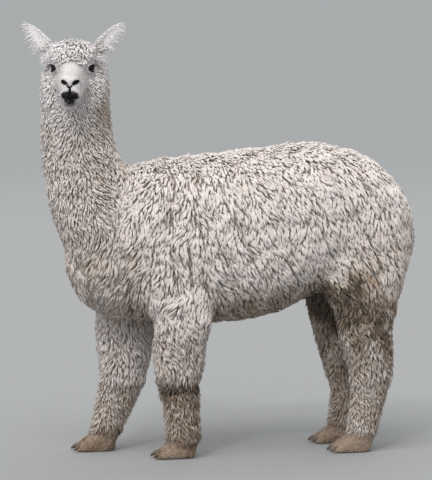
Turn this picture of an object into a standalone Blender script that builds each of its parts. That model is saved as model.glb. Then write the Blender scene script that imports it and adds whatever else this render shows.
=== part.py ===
"""A life-size standing alpaca (huacaya, in full fleece), as solids that reach out to the tips of its coat.

Metres, +Z up. The body faces -Y, its left side is +X, and the head is turned to its left.
The masses of the body are swept or turned shapes. They are blended into one body, which is then
parted with thin cuts into the pieces that a person would name.
"""

import math
from collections import namedtuple

import bmesh
import bpy
from mathutils import Matrix, Vector

# Driving dimensions.
GAP = 0.0006  # the thin cut between two neighbouring pieces
SOLE_DEPTH = 0.010  # how far a foot is modelled below the ground before its sole is cut flat
EVEN_TRIANGLES = 8400  # of the blended body, evenly simplified
BODY_TRIANGLES = 3700  # of the same body with fewer faces below the head

COARSE_VOXEL, COARSE_ROUNDING = 0.012, 7  # for the big masses, whose joins are soft
FINE_VOXEL, FINE_ROUNDING = 0.0040, 3  # for the face and feet, whose forms are small
SHARP_ANGLE = math.radians(50)
MIDLINE = 0.006  # a mass nearer than this to the midline has no twin
WELD = 0.00001

# The head's own frame: its origin lies midway between the eyes, it faces -Y, left is +X and up is +Z.
HEAD_ORIGIN = Vector((0.105, -0.350, 1.226))
HEAD_TURN = math.radians(75.6)  # to the animal's left, about the vertical
HEAD = Matrix.Translation(HEAD_ORIGIN) @ Matrix.Rotation(HEAD_TURN, 4, "Z")

EYE_AT, EYE_RADIUS = Vector((0.0500, -0.001, 0.0)), 0.0165
NOSTRIL_AT = Vector((0.0165, 0, -0.041))  # as seen from the front
NOSTRIL_SIZE = (0.0080, 0.0090, 0.0040)
NOSTRIL_SLANT = math.radians(24)  # its outer end is the higher one
MOUTH_MIDDLE, MOUTH_CORNER = -0.0905, -0.080  # heights of the line between the lips
MOUTH_REACH = math.radians(58)  # how far round the muzzle it runs from the front, each way
MUZZLE_AXIS = Vector((0, -0.094, 0))  # the line up through the muzzle that the mouth runs round
LIP_GROOVE, MOUTH_POINTS = 0.0028, 13

EAR_ROOT = Vector((0.056, 0.048, 0.047))
EAR_TIP = Vector((0.1470, 0.068, 0.1385))
EAR_HALF_THICKNESS, EAR_THINNING = 0.0075, 0.55
EAR_OUTWARD = 0.25  # how far the ears face outwards, as a slope from straight ahead
EAR_CUP = 0.35  # how far the edges come forward, as a share of the half width
EAR_FULLNESS = 3.0  # of its section, which keeps the edges thick
EAR_SIDES, EAR_STEPS, EAR_ROOM = 20, 3, 0.060
EAR_CUT = 0.30  # where the ear leaves the head, as a share of its length
# (share of the ear's length, reach of its upper edge and of its lower edge from the chord)
EAR_EDGES = (
    (-0.25, 0.020, 0.024),
    (0.00, 0.023, 0.027),
    (0.25, 0.022, 0.026),
    (0.50, 0.021, 0.022),
    (0.75, 0.0185, 0.0155),
    (0.92, 0.0125, 0.0085),
    (1.00, 0.0040, 0.0030),
)

FORE_CUT, HIND_CUT = 0.414, 0.500  # heights where the legs leave the trunk
KNEE_CUT, HOCK_CUT, FOOT_CUT = 0.205, 0.262, 0.062
FORE_REACH, HIND_REACH = (-0.60, 0.25), (0.445, 0.90)  # from front to back, of the boxes around the legs
LEG_REACH = (0.004, 0.40)  # the same from the midline outwards
HEAD_CUT = 1.098
NECK_REACH = 0.60  # down the slope from the withers to under the breast
FAR = 1.0  # beyond the body on every side
NECK_FOOT = (Vector((0, -0.155, 0.935)), Vector((0, -0.360, 0.550)))  # withers and breast

TOE_SPREAD, TOE_SPLAY = 0.0170, math.radians(3)
TOE_LENGTH, TOE_HALF_WIDTH, HEEL_BACK = 0.120, 0.0190, 0.032
# (share of the toe's length, height of its top, share of its half width)
TOE_PROFILE = (
    (0.00, 0.020, 0.70),
    (0.12, 0.045, 0.95),
    (0.40, 0.058, 1.00),
    (0.65, 0.044, 1.00),
    (0.82, 0.031, 0.92),
    (0.94, 0.021, 0.66),
    (1.00, 0.010, 0.34),
)
# The pad that joins the two toes: its half sizes, and where it lies from the foot's middle.
PAD_ACROSS, PAD_LENGTH, PAD_HEIGHT, PAD_FORWARD = 0.026, 0.052, 0.046, 0.008
NAIL_LENGTH, NAIL_HALF_WIDTH, NAIL_FROM = 0.028, 0.0075, 0.84
# (share of the nail's length, height of its middle, half its thickness, share of its half width)
NAIL_PROFILE = (
    (0.00, 0.0190, 0.0050, 0.90),
    (0.35, 0.0175, 0.0060, 1.00),
    (0.70, 0.0125, 0.0055, 0.75),
    (1.00, 0.0065, 0.0030, 0.34),
)

# One ring of a swept mass: its centre, and its half sizes across (along X) and in depth.
Ring = namedtuple("Ring", "x y z across depth")


def upright(y, top, bottom, across):
    """A ring square to Y, from the heights of its top and bottom."""
    return Ring(0, y, (top + bottom) / 2, across, (top - bottom) / 2)


TRUNK = (
    upright(-0.300, 0.745, 0.560, 0.085),  # front of the breast
    upright(-0.235, 0.850, 0.475, 0.140),
    upright(-0.130, 0.925, 0.440, 0.178),  # shoulders
    upright(0.000, 0.948, 0.428, 0.204),
    upright(0.140, 0.960, 0.424, 0.222),  # girth
    upright(0.270, 0.973, 0.437, 0.229),  # barrel
    upright(0.370, 0.982, 0.470, 0.228),
    upright(0.460, 0.986, 0.515, 0.222),  # loin
    upright(0.580, 0.966, 0.530, 0.207),  # croup
    upright(0.675, 0.912, 0.520, 0.178),
    upright(0.737, 0.832, 0.535, 0.130),  # rump
    upright(0.768, 0.740, 0.600, 0.065),
)
NECK = (
    Ring(0, -0.130, 0.660, 0.150, 0.190),
    Ring(0, -0.241, 0.790, 0.142, 0.155),
    Ring(0, -0.300, 0.914, 0.123, 0.119),
    Ring(0, -0.318, 1.030, 0.112, 0.109),
    Ring(0.006, -0.322, 1.110, 0.107, 0.104),
    Ring(0.014, -0.326, 1.190, 0.100, 0.100),
    Ring(0.020, -0.330, 1.245, 0.075, 0.075),
)
TAIL = (
    Ring(0, 0.650, 0.900, 0.026, 0.016),
    Ring(0, 0.704, 0.848, 0.044, 0.026),
    Ring(0, 0.745, 0.780, 0.052, 0.028),
    Ring(0, 0.765, 0.700, 0.051, 0.028),
    Ring(0, 0.763, 0.628, 0.038, 0.024),
    Ring(0, 0.756, 0.590, 0.016, 0.012),
)
# Each leg is given as a left one.
FORELEG_STANDING = (
    Ring(0.105, -0.050, 0.620, 0.085, 0.125),  # shoulder, inside the trunk
    Ring(0.117, -0.005, 0.460, 0.086, 0.095),  # elbow
    Ring(0.114, -0.008, 0.400, 0.076, 0.082),
    Ring(0.112, -0.014, 0.325, 0.071, 0.077),
    Ring(0.111, -0.016, 0.245, 0.063, 0.068),  # the sleeve of fleece above the knee
    Ring(0.110, -0.009, 0.200, 0.051, 0.056),  # knee
    Ring(0.110, -0.002, 0.120, 0.049, 0.053),
    Ring(0.110, -0.001, 0.062, 0.048, 0.054),  # fetlock
    Ring(0.110, -0.004, 0.024, 0.042, 0.047),
)
FORELEG_STRIDING = (
    Ring(0.105, -0.085, 0.620, 0.085, 0.125),
    Ring(0.116, -0.134, 0.430, 0.084, 0.096),
    Ring(0.112, -0.141, 0.324, 0.074, 0.084),
    Ring(0.111, -0.149, 0.235, 0.062, 0.069),
    Ring(0.110, -0.172, 0.163, 0.053, 0.059),  # knee
    Ring(0.110, -0.194, 0.100, 0.047, 0.051),
    Ring(0.110, -0.208, 0.058, 0.044, 0.048),
    Ring(0.110, -0.217, 0.024, 0.040, 0.044),
)
HINDLEG = (
    Ring(0.105, 0.560, 0.720, 0.108, 0.160),  # hip, inside the trunk
    Ring(0.116, 0.588, 0.560, 0.104, 0.140),  # thigh
    Ring(0.118, 0.594, 0.470, 0.088, 0.100),
    Ring(0.116, 0.597, 0.400, 0.077, 0.084),  # gaskin
    Ring(0.113, 0.609, 0.325, 0.069, 0.074),
    Ring(0.111, 0.618, 0.260, 0.060, 0.067),  # hock
    Ring(0.110, 0.607, 0.170, 0.048, 0.053),
    Ring(0.110, 0.594, 0.090, 0.044, 0.046),
    Ring(0.110, 0.584, 0.045, 0.042, 0.044),
    Ring(0.110, 0.576, 0.022, 0.040, 0.042),
)
# The right gaskin's fleece stands further forward.
FULL_GASKIN, FULL_FROM, FULL_TO = 0.011, 0.25, 0.48
# In the head's frame. The skull and muzzle run forward from the nape to the nose.
SKULL = (
    Ring(0, 0.105, 0.004, 0.052, 0.055),
    Ring(0, 0.060, 0.002, 0.062, 0.070),
    Ring(0, 0.020, -0.006, 0.056, 0.068),  # brow
    Ring(0, -0.012, -0.022, 0.0460, 0.067),
    Ring(0, -0.040, -0.038, 0.0430, 0.060),  # cheeks
    Ring(0, -0.072, -0.052, 0.0395, 0.055),
    Ring(0, -0.098, -0.061, 0.0360, 0.051),  # muzzle
    Ring(0, -0.121, -0.065, 0.0330, 0.047),
    Ring(0, -0.136, -0.066, 0.0265, 0.040),
    Ring(0, -0.145, -0.066, 0.0150, 0.026),
)

# One rounded mass: its centre and its half sizes along X, Y and Z.
Mass = namedtuple("Mass", "x y z across length height")

BREAST = Mass(0, -0.165, 0.630, 0.158, 0.187, 0.187)
# In the head's frame, as the skull is. A mass off the midline has a twin on the other side.
HEAD_WOOL = (
    Mass(0, 0.036, 0.036, 0.079, 0.076, 0.052),  # topknot
    Mass(0.005, 0.078, -0.045, 0.106, 0.066, 0.112),  # collar behind the jaw
    Mass(0.066, 0.044, -0.066, 0.036, 0.047, 0.076),  # cheek
)
FACE_MASSES = (
    Mass(0, -0.111, -0.040, 0.0300, 0.031, 0.0235),  # nose
    Mass(0, -0.106, -0.096, 0.0265, 0.032, 0.0220),  # chin
    Mass(0.0150, -0.128, -0.068, 0.0170, 0.0205, 0.0240),  # half of the split upper lip
    Mass(0.0440, 0.017, 0.005, 0.0200, 0.030, 0.026),  # rim of the eye socket
    Mass(0.0400, 0.020, -0.048, 0.0240, 0.042, 0.040),  # jaw muscle
)

FLEECE = ("fleece", (0.72, 0.66, 0.61, 1), 0.95)
SHORT_HAIR = ("short_hair", (0.80, 0.76, 0.73, 1), 0.80)
SOILED = ("soiled_fleece", (0.45, 0.37, 0.29, 1), 0.95)
EYE = ("eye", (0.012, 0.009, 0.008, 1), 0.05)
HORN = ("horn", (0.16, 0.12, 0.09, 1), 0.45)


def clear_scene():
    for found in list(bpy.data.objects):
        bpy.data.objects.remove(found, do_unlink=True)


def collection(name, shown=True):
    """The collection of that name, made on first use."""
    if name not in bpy.data.collections:
        made = bpy.data.collections.new(name)
        made.hide_render = not shown
        bpy.context.scene.collection.children.link(made)
    return bpy.data.collections[name]


def material_of(look):
    """The Principled material of that name, colour and roughness, made once."""
    name, colour, roughness = look
    if name in bpy.data.materials:
        return bpy.data.materials[name]
    material = bpy.data.materials.new(name)
    material.use_nodes = True
    shader = material.node_tree.nodes["Principled BSDF"]
    shader.inputs["Base Color"].default_value = colour
    shader.inputs["Roughness"].default_value = roughness
    shader.inputs["Metallic"].default_value = 0.0
    return material


def helper(name, mesh):
    """An object to build with, in the collection of cutters and guides."""
    made = bpy.data.objects.new(name, mesh)
    made.hide_render = True
    made.display_type = "WIRE"
    collection("cutters", shown=False).objects.link(made)
    return made


def helper_from(name, bm):
    """The bmesh as a helper, its faces pointing out."""
    bmesh.ops.recalc_face_normals(bm, faces=bm.faces)
    mesh = bpy.data.meshes.new(name)
    bm.to_mesh(mesh)
    bm.free()
    return helper(name, mesh)


def piece(name, shape, look):
    """The helper's shape as a finished piece of the animal."""
    mesh = shape.data
    mesh.materials.clear()
    mesh.materials.append(material_of(look))
    mesh.shade_smooth()
    mesh.set_sharp_from_angle(angle=SHARP_ANGLE)
    drop(shape)
    made = bpy.data.objects.new(name, mesh)
    collection("alpaca").objects.link(made)
    return made


def drop(*helpers):
    for made in helpers:
        bpy.data.objects.remove(made, do_unlink=True)


def moved(made, matrix):
    made.data.transform(matrix)
    return made


def between(a, b, c, d, t):
    """The Catmull-Rom value at share t of the way from b to c."""
    straight = 2 * b + (c - a) * t
    bend = (2 * a - 5 * b + 4 * c - d) * t * t
    return 0.5 * (straight + bend + (3 * b - a - 3 * c + d) * t**3)


def refined(rows, steps):
    """The rows of numbers with steps smooth ones for each stretch between two of them."""
    padded = (rows[0], *rows, rows[-1])
    found = []
    for i in range(len(rows) - 1):
        four = padded[i : i + 4]
        for k in range(steps):
            found.append([between(*values, k / steps) for values in zip(*four)])
    return found + [list(rows[-1])]


def skinned(name, loops):
    """A closed body through loops of points, with flat ends."""
    bm = bmesh.new()
    loops = [[bm.verts.new(point) for point in loop] for loop in loops]
    for one, other in zip(loops, loops[1:]):
        for k in range(len(one)):
            bm.faces.new((one[k - 1], one[k], other[k], other[k - 1]))
    bm.faces.new(loops[0])
    bm.faces.new(loops[-1])
    return helper_from(name, bm)


def turned(value, fullness):
    """A sine or cosine made fuller, which turns a circle into a superellipse."""
    return math.copysign(abs(value) ** (2 / fullness), value)


def sweep(name, rings, sides=28, steps=4, fullness=2.2, square_to=None):
    """A mass through the rings, each a superellipse square to the line of centres or to one axis."""
    path = [Ring(*row) for row in refined(rings, steps)]
    centres = [Vector((ring.x, ring.y, ring.z)) for ring in path]
    loops = []
    for i, ring in enumerate(path):
        ahead, behind = centres[min(i + 1, len(path) - 1)], centres[max(i - 1, 0)]
        along = square_to or (ahead - behind).normalized()
        across = (Vector((1, 0, 0)) - along.x * along).normalized()
        deep = along.cross(across)
        loop = []
        for k in range(sides):
            angle = 2 * math.pi * k / sides
            u = turned(math.cos(angle), fullness) * ring.across
            v = turned(math.sin(angle), fullness) * ring.depth
            loop.append(centres[i] + across * u + deep * v)
        loops.append(loop)
    return skinned(name, loops)


def rounded(name, mass):
    """An ellipsoid."""
    bm = bmesh.new()
    bmesh.ops.create_uvsphere(bm, u_segments=24, v_segments=16, radius=1)
    bmesh.ops.scale(bm, vec=(mass.across, mass.length, mass.height), verts=bm.verts)
    bmesh.ops.translate(bm, vec=(mass.x, mass.y, mass.z), verts=bm.verts)
    return helper_from(name, bm)


def head_mass(name, mass):
    """The mass in its place on the head, with its twin where it lies off the midline."""
    both = [mass] if abs(mass.x) < MIDLINE else [mass, mass._replace(x=-mass.x)]
    return [moved(rounded(name, one), HEAD) for one in both]


def box(name, low, high, turn=None):
    """A box from low to high, moved by the matrix turn where one is given."""
    low, high = Vector(low), Vector(high)
    bm = bmesh.new()
    bmesh.ops.create_cube(bm, size=1)
    bmesh.ops.scale(bm, vec=high - low, verts=bm.verts)
    bmesh.ops.translate(bm, vec=(low + high) / 2, verts=bm.verts)
    if turn is not None:
        bmesh.ops.transform(bm, matrix=turn, verts=bm.verts)
    return helper_from(name, bm)


def settled(made):
    """The helper with its modifiers turned into mesh."""
    bpy.context.view_layer.update()
    graph = bpy.context.evaluated_depsgraph_get()
    mesh = bpy.data.meshes.new_from_object(made.evaluated_get(graph))
    made.modifiers.clear()
    made.data = mesh
    return made


def blended(name, masses, voxel, rounding):
    """The masses as one closed body, its joins rounded."""
    bm = bmesh.new()
    for mass in masses:
        bm.from_mesh(mass.data)
    drop(*masses)
    whole = helper_from(name, bm)
    remesh = whole.modifiers.new("one_body", "REMESH")
    remesh.mode = "VOXEL"
    remesh.voxel_size = voxel
    smooth = whole.modifiers.new("soft_joins", "SMOOTH")
    smooth.factor = 0.5
    smooth.iterations = rounding
    return settled(whole)


def simplified(whole, triangles, below):
    """The body with about that many triangles, all that go taken from below a height."""
    group = whole.vertex_groups.new(name="plain")
    plain = [vertex.index for vertex in whole.data.vertices if vertex.co.z < below]
    group.add(plain, 1, "REPLACE")
    whole.data.calc_loop_triangles()
    fewer = whole.modifiers.new("fewer_faces", "DECIMATE")
    fewer.ratio = triangles / len(whole.data.loop_triangles)
    fewer.vertex_group = group.name
    fewer.use_collapse_triangulate = True
    settled(whole)
    whole.vertex_groups.clear()
    return whole


def combined(made, other, operation):
    """made after a Boolean with other, which is left as it is."""
    change = made.modifiers.new("combined", "BOOLEAN")
    change.operation = operation
    change.object = other
    change.solver = "EXACT"
    return settled(made)


def cut_by(made, *cutters):
    for cutter in cutters:
        combined(made, cutter, "DIFFERENCE")
    drop(*cutters)


def grown(made, by):
    """A copy of the object, each vertex moved out along its normal."""
    copy = helper(made.name + "_room", made.data.copy())
    normals = [vertex.normal.copy() for vertex in copy.data.vertices]
    for vertex, normal in zip(copy.data.vertices, normals):
        vertex.co += normal * by
    return copy


def part_off(whole, name, look, low, high, turn=None):
    """Takes what lies in a box off the whole as a piece, with a thin cut between the two."""
    low, high = Vector(low), Vector(high)
    margin = Vector((GAP, GAP, GAP)) / 2
    shape = helper(name, whole.data.copy())
    inside = box("inside", low + margin, high - margin, turn)
    combined(shape, inside, "INTERSECT")
    drop(inside)
    cut_by(whole, box("outside", low - margin, high + margin, turn))
    return piece(name, shape, look)


def mirrored(rings):
    return tuple(ring._replace(x=-ring.x) for ring in rings)


def fuller(rings):
    """The leg with more fleece on the front of its gaskin."""
    return tuple(
        ring._replace(y=ring.y - FULL_GASKIN, depth=ring.depth + FULL_GASKIN)
        if FULL_FROM < ring.z < FULL_TO
        else ring
        for ring in rings
    )


LEGS = {
    "foreleg_left": FORELEG_STANDING,
    "foreleg_right": mirrored(FORELEG_STRIDING),
    "hindleg_left": HINDLEG,
    "hindleg_right": mirrored(fuller(HINDLEG)),
}


def body_masses():
    """The big masses, whose joins are soft: trunk, breast, neck, legs and the wool of the head."""
    masses = [sweep("trunk", TRUNK, fullness=2.3, square_to=Vector((0, 1, 0)))]
    masses += [sweep("neck", NECK), rounded("breast", BREAST)]
    masses += [sweep(name, rings) for name, rings in LEGS.items()]
    for mass in HEAD_WOOL:
        masses += head_mass("wool", mass)
    return masses


def face_masses():
    masses = [moved(sweep("skull", SKULL), HEAD)]
    for mass in FACE_MASSES:
        masses += head_mass("face", mass)
    return masses


def ear_axes(side):
    """An ear's root, its direction, the way it faces and the way to its lower edge. side is 1 or -1."""
    root = Vector((side * EAR_ROOT.x, EAR_ROOT.y, EAR_ROOT.z))
    tip = Vector((side * EAR_TIP.x, EAR_TIP.y, EAR_TIP.z))
    along = (tip - root).normalized()
    forward = Vector((side * EAR_OUTWARD, -1, 0))
    face = (forward - forward.dot(along) * along).normalized()
    return root, along, face, along.cross(face) * side


def ear(side):
    """A spear-shaped ear that tapers from its root in the wool, cupped towards the front."""
    root, along, face, down = ear_axes(side)
    length = (EAR_TIP - EAR_ROOT).length
    loops = []
    for share, upper, lower in refined(EAR_EDGES, EAR_STEPS):
        half = (upper + lower) / 2
        thick = EAR_HALF_THICKNESS * (1 - EAR_THINNING * max(0, share))
        middle = root + along * length * share + down * (lower - upper) / 2
        loop = []
        for k in range(EAR_SIDES):
            angle = 2 * math.pi * k / EAR_SIDES
            u = turned(math.cos(angle), EAR_FULLNESS)
            v = turned(math.sin(angle), EAR_FULLNESS)
            cup = EAR_CUP * half * u * u
            loop.append(middle + down * half * u + face * (thick * v + cup))
        loops.append(loop)
    return moved(skinned("ear", loops), HEAD)


def toe_places(leg):
    """(name, start of the toe's underside, direction) of a leg's two toes."""
    foot = leg[-1]
    side = math.copysign(1, foot.x)
    for name, way in (("outer", side), ("inner", -side)):
        turn = way * TOE_SPLAY
        yield name, Vector((foot.x + way * TOE_SPREAD, foot.y + HEEL_BACK, 0)), turn


def toe_point(start, turn, reach, height):
    return start + Vector((math.sin(turn) * reach, -math.cos(turn) * reach, height))


def toe(start, turn):
    """One toe, whose underside reaches below the ground until its sole is cut flat."""
    rings = []
    for share, top, wide in TOE_PROFILE:
        half = (top + SOLE_DEPTH) / 2
        middle = toe_point(start, turn, TOE_LENGTH * share, top - half)
        rings.append(Ring(*middle, TOE_HALF_WIDTH * wide, half))
    return sweep("toe", rings, sides=20, steps=3, fullness=2.5)


def pad(leg):
    """The cushion that joins a foot's two toes behind their tips."""
    foot = leg[-1]
    middle = (foot.x, foot.y - PAD_FORWARD, 0)
    return rounded("pad", Mass(*middle, PAD_ACROSS, PAD_LENGTH, PAD_HEIGHT))


def nail(start, turn):
    """A toe's nail, which curves down over the toe's tip."""
    rings = []
    for share, height, half, wide in NAIL_PROFILE:
        reach = TOE_LENGTH * NAIL_FROM + NAIL_LENGTH * share
        middle = toe_point(start, turn, reach, height)
        rings.append(Ring(*middle, NAIL_HALF_WIDTH * wide, half))
    return sweep("nail", rings, sides=8, steps=1)


def whole_body():
    """The blended body, out to the tips of the coat, with flat soles on the ground."""
    masses = blended("masses", body_masses(), COARSE_VOXEL, COARSE_ROUNDING)
    details = face_masses() + [ear(1), ear(-1)]
    for leg in LEGS.values():
        details += [toe(start, turn) for _, start, turn in toe_places(leg)] + [pad(leg)]
    body = blended("body", [masses] + details, FINE_VOXEL, FINE_ROUNDING)
    simplified(body, EVEN_TRIANGLES, math.inf)
    simplified(body, BODY_TRIANGLES, HEAD_CUT)
    cut_by(body, box("ground", (-FAR, -FAR, -FAR), (FAR, FAR, 0)))
    return body


def surface_ahead(body, start, direction):
    """Where the line from a point inside the head, both given in its frame, leaves the body."""
    bpy.context.view_layer.update()
    hit, place, _, _ = body.ray_cast(HEAD @ start, HEAD.to_3x3() @ direction)
    assert hit
    return place


def nostril(body, side):
    """A slanted hollow in the nose."""
    start = Vector((side * NOSTRIL_AT.x, MUZZLE_AXIS.y, NOSTRIL_AT.z))
    middle = surface_ahead(body, start, Vector((0, -1, 0)))
    bm = bmesh.new()
    bmesh.ops.create_uvsphere(bm, u_segments=10, v_segments=6, radius=1)
    bmesh.ops.scale(bm, vec=NOSTRIL_SIZE, verts=bm.verts)
    slant = Matrix.Rotation(-side * NOSTRIL_SLANT, 3, "Y")
    bmesh.ops.transform(bm, matrix=HEAD.to_3x3() @ slant, verts=bm.verts)
    bmesh.ops.translate(bm, vec=middle, verts=bm.verts)
    return helper_from("nostril", bm)


def mouth(body):
    """A groove round the muzzle, between the lips."""
    curve = bpy.data.curves.new("mouth", "CURVE")
    curve.dimensions = "3D"
    curve.bevel_depth = LIP_GROOVE
    curve.bevel_resolution = 0
    curve.use_fill_caps = True
    line = curve.splines.new("POLY")
    line.points.add(MOUTH_POINTS - 1)
    for k in range(MOUTH_POINTS):
        share = 2 * k / (MOUTH_POINTS - 1) - 1
        angle = share * MOUTH_REACH
        height = MOUTH_MIDDLE + (MOUTH_CORNER - MOUTH_MIDDLE) * share * share
        start = MUZZLE_AXIS + Vector((0, 0, height))
        place = surface_ahead(body, start, Vector((math.sin(angle), -math.cos(angle), 0)))
        line.points[k].co = (*place, 1)
    return settled_curve(curve)


def settled_curve(curve):
    """The curve's tube as a closed mesh."""
    made = helper("curve", curve)
    bpy.context.view_layer.update()
    graph = bpy.context.evaluated_depsgraph_get()
    bm = bmesh.new()
    bm.from_mesh(bpy.data.meshes.new_from_object(made.evaluated_get(graph)))
    drop(made)
    bmesh.ops.remove_doubles(bm, verts=bm.verts, dist=WELD)
    return helper_from("tube", bm)


def eyeball(side, radius):
    bm = bmesh.new()
    bmesh.ops.create_uvsphere(bm, u_segments=16, v_segments=10, radius=radius)
    centre = HEAD @ Vector((side * EYE_AT.x, EYE_AT.y, EYE_AT.z))
    bmesh.ops.translate(bm, vec=centre, verts=bm.verts)
    return helper_from("eyeball", bm)


def carve_face(body):
    """Cuts the mouth, the nostrils and the eye sockets, and fills the sockets with eyes."""
    cut_by(body, mouth(body))
    cut_by(body, nostril(body, 1), nostril(body, -1))
    for name, side in (("left", 1), ("right", -1)):
        cut_by(body, eyeball(side, EYE_RADIUS + GAP / 2))
        piece("eye_" + name, eyeball(side, EYE_RADIUS), EYE)


def part_ears(body):
    length = (EAR_TIP - EAR_ROOT).length
    for name, side in (("left", 1), ("right", -1)):
        root, along, face, down = ear_axes(side)
        axes = Matrix((down, along.cross(down), along)).transposed().to_4x4()
        turn = HEAD @ Matrix.Translation(root) @ axes
        low = (-EAR_ROOM, -EAR_ROOM, length * EAR_CUT)
        part_off(body, "ear_" + name, SHORT_HAIR, low, (EAR_ROOM, EAR_ROOM, 2 * length), turn)


def part_neck(body):
    withers, breast = NECK_FOOT
    slope = (withers - breast).normalized()
    across = Vector((1, 0, 0))
    # The box's own Y points up the slope and its Z points away from the trunk.
    axes = Matrix((across, slope, across.cross(slope))).transposed().to_4x4()
    low, high = (-FAR, -NECK_REACH, 0), (FAR, FAR, FAR)
    part_off(body, "neck", FLEECE, low, high, Matrix.Translation(withers) @ axes)


def part_legs(body):
    """Takes each leg off at the fleece of the trunk, then parts it at its middle joint and its foot."""
    for name, leg in LEGS.items():
        fore = leg[0].y < 0
        near, far = sorted(math.copysign(reach, leg[0].x) for reach in LEG_REACH)
        front, back = FORE_REACH if fore else HIND_REACH
        body_cut, middle_cut = (FORE_CUT, KNEE_CUT) if fore else (HIND_CUT, HOCK_CUT)
        for part, look, top, foot in (
            ("upper", FLEECE, body_cut, middle_cut),
            ("lower", SOILED, middle_cut, FOOT_CUT),
            ("foot", SOILED, FOOT_CUT, -FAR),
        ):
            part_off(body, f"{name}_{part}", look, (near, front, foot), (far, back, top))


def add_nails():
    for name, leg in LEGS.items():
        foot = bpy.data.objects[name + "_foot"]
        for toe_name, start, turn in toe_places(leg):
            shape = nail(start, turn)
            cut_by(foot, grown(shape, GAP / 2))
            piece(f"{name}_nail_{toe_name}", shape, HORN)


def add_tail(trunk):
    shape = sweep("tail", TAIL, sides=14, steps=2)
    cut_by(trunk, grown(shape, GAP / 2))
    piece("tail", shape, FLEECE)


def stand_at_origin():
    """Moves the animal so that the middle of its footprint box is at the origin."""
    parts = collection("alpaca").objects
    points = [Vector(corner) for part in parts for corner in part.bound_box]
    for axis in (0, 1):
        values = [point[axis] for point in points]
        for part in parts:
            part.location[axis] = -(min(values) + max(values)) / 2


def main():
    clear_scene()
    body = whole_body()
    carve_face(body)
    part_ears(body)
    part_off(body, "head", SHORT_HAIR, (-FAR, -FAR, HEAD_CUT), (FAR, FAR, 2 * FAR))
    part_neck(body)
    part_legs(body)
    add_nails()
    add_tail(body)
    piece("trunk", body, FLEECE)
    stand_at_origin()


main()
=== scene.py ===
"""The alpaca's looks: one skin with a sculpted face, a coat of solid locks, eyes and nails."""

from math import cos, pi, radians, sin, sqrt

import bmesh
import bpy
import numpy as np
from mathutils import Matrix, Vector
from mathutils.bvhtree import BVHTree


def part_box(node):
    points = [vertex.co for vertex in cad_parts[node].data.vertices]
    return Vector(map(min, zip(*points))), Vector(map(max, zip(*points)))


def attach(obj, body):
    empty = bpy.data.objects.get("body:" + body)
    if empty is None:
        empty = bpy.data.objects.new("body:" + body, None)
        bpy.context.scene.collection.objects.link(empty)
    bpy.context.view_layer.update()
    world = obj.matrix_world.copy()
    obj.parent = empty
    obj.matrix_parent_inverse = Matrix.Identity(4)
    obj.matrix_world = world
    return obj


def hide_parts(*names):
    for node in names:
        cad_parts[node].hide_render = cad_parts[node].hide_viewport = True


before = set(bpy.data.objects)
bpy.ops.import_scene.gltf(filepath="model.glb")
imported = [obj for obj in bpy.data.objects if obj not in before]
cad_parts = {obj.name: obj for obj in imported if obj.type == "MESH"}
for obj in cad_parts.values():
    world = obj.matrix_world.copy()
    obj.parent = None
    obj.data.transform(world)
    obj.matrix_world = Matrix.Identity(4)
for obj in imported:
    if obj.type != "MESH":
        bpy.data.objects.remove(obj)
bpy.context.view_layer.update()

RANDOM = np.random.default_rng(20)

# ---------- the animal's two frames; all sizes are in metres

UP = Vector((0, 0, 1))


def middle(node):
    low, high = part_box(node)
    return (low + high) / 2


EYE = {1: middle("eye_left"), -1: middle("eye_right")}
EYE_RADIUS = (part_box("eye_left")[1].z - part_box("eye_left")[0].z) / 2
LEFTWARD = (EYE[1] - EYE[-1]).normalized()
BACKWARD = UP.cross(LEFTWARD)
# The head's frame: X to its left, Y to its back, Z up, and its origin just behind the eyes' line.
EYE_SIDE, EYE_AHEAD = 0.050, 0.001  # of an eye's middle from that origin
HEAD_AT = (EYE[1] + EYE[-1]) / 2 + BACKWARD * EYE_AHEAD
HEAD_AXES = np.array([LEFTWARD, BACKWARD, UP])
EYE_AT = {side: np.array([side * EYE_SIDE, -EYE_AHEAD, 0]) for side in EYE}
# The body's frame has the row's axes, and its origin lies on the ground under the shoulders.
BODY_AT = HEAD_AT - Vector((0.105, -0.350, 1.226))


def in_head(points):
    return (points - np.array(HEAD_AT)) @ HEAD_AXES.T


def from_head(points):
    return points @ HEAD_AXES + np.array(HEAD_AT)


def in_body(points):
    return points - np.array(BODY_AT)


# ---------- numbers and fields


def ramp(low, high, value):
    """0 up to low, 1 from high on, smooth between them."""
    t = np.clip((value - low) / (high - low), 0, 1)
    return t * t * (3 - 2 * t)


def mix(a, b, share):
    return a + (b - a) * share


def unit(vectors):
    return vectors / np.maximum(np.linalg.norm(vectors, axis=-1, keepdims=True), 1e-9)


def hill(x, width):
    """A bell of height 1."""
    return np.exp(-((x / width) ** 2))


def waves(points, size, seed):
    """A smooth random field of about -1 to 1 whose swells are about size across."""
    draw = np.random.default_rng(seed)
    total = np.zeros(len(points))
    for _ in range(9):
        way = unit(draw.normal(size=3)) / size * 2 * pi * draw.uniform(0.5, 1.3)
        total += np.sin(points @ way + draw.uniform(0, 2 * pi))
    return total / 3.2


def summed(index, rows, size):
    """Sums of the rows that share an index."""
    return np.stack([np.bincount(index, column, size) for column in rows.T], axis=1)


def relaxed(points, edges, times, strength=1.0):
    """The points after a number of rounds in which each moves halfway to its neighbours' middle."""
    size = len(points)
    count = np.maximum(np.bincount(edges.ravel(), minlength=size), 1)[:, None]
    a, b = edges.T
    strength = np.broadcast_to(np.asarray(strength, float).reshape(-1, 1), (size, 1))
    for _ in range(times):
        total = summed(a, points[b], size) + summed(b, points[a], size)
        points = points + 0.5 * strength * (total / count - points)
    return points


# ---------- meshes


def read(items, name, width, kind=np.float32):
    found = np.empty(len(items) * width, kind)
    items.foreach_get(name, found)
    return found.reshape(-1, width)


def points_of(mesh):
    return read(mesh.vertices, "co", 3).astype(float)


def normals_of(mesh):
    return read(mesh.vertices, "normal", 3).astype(float)


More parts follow.
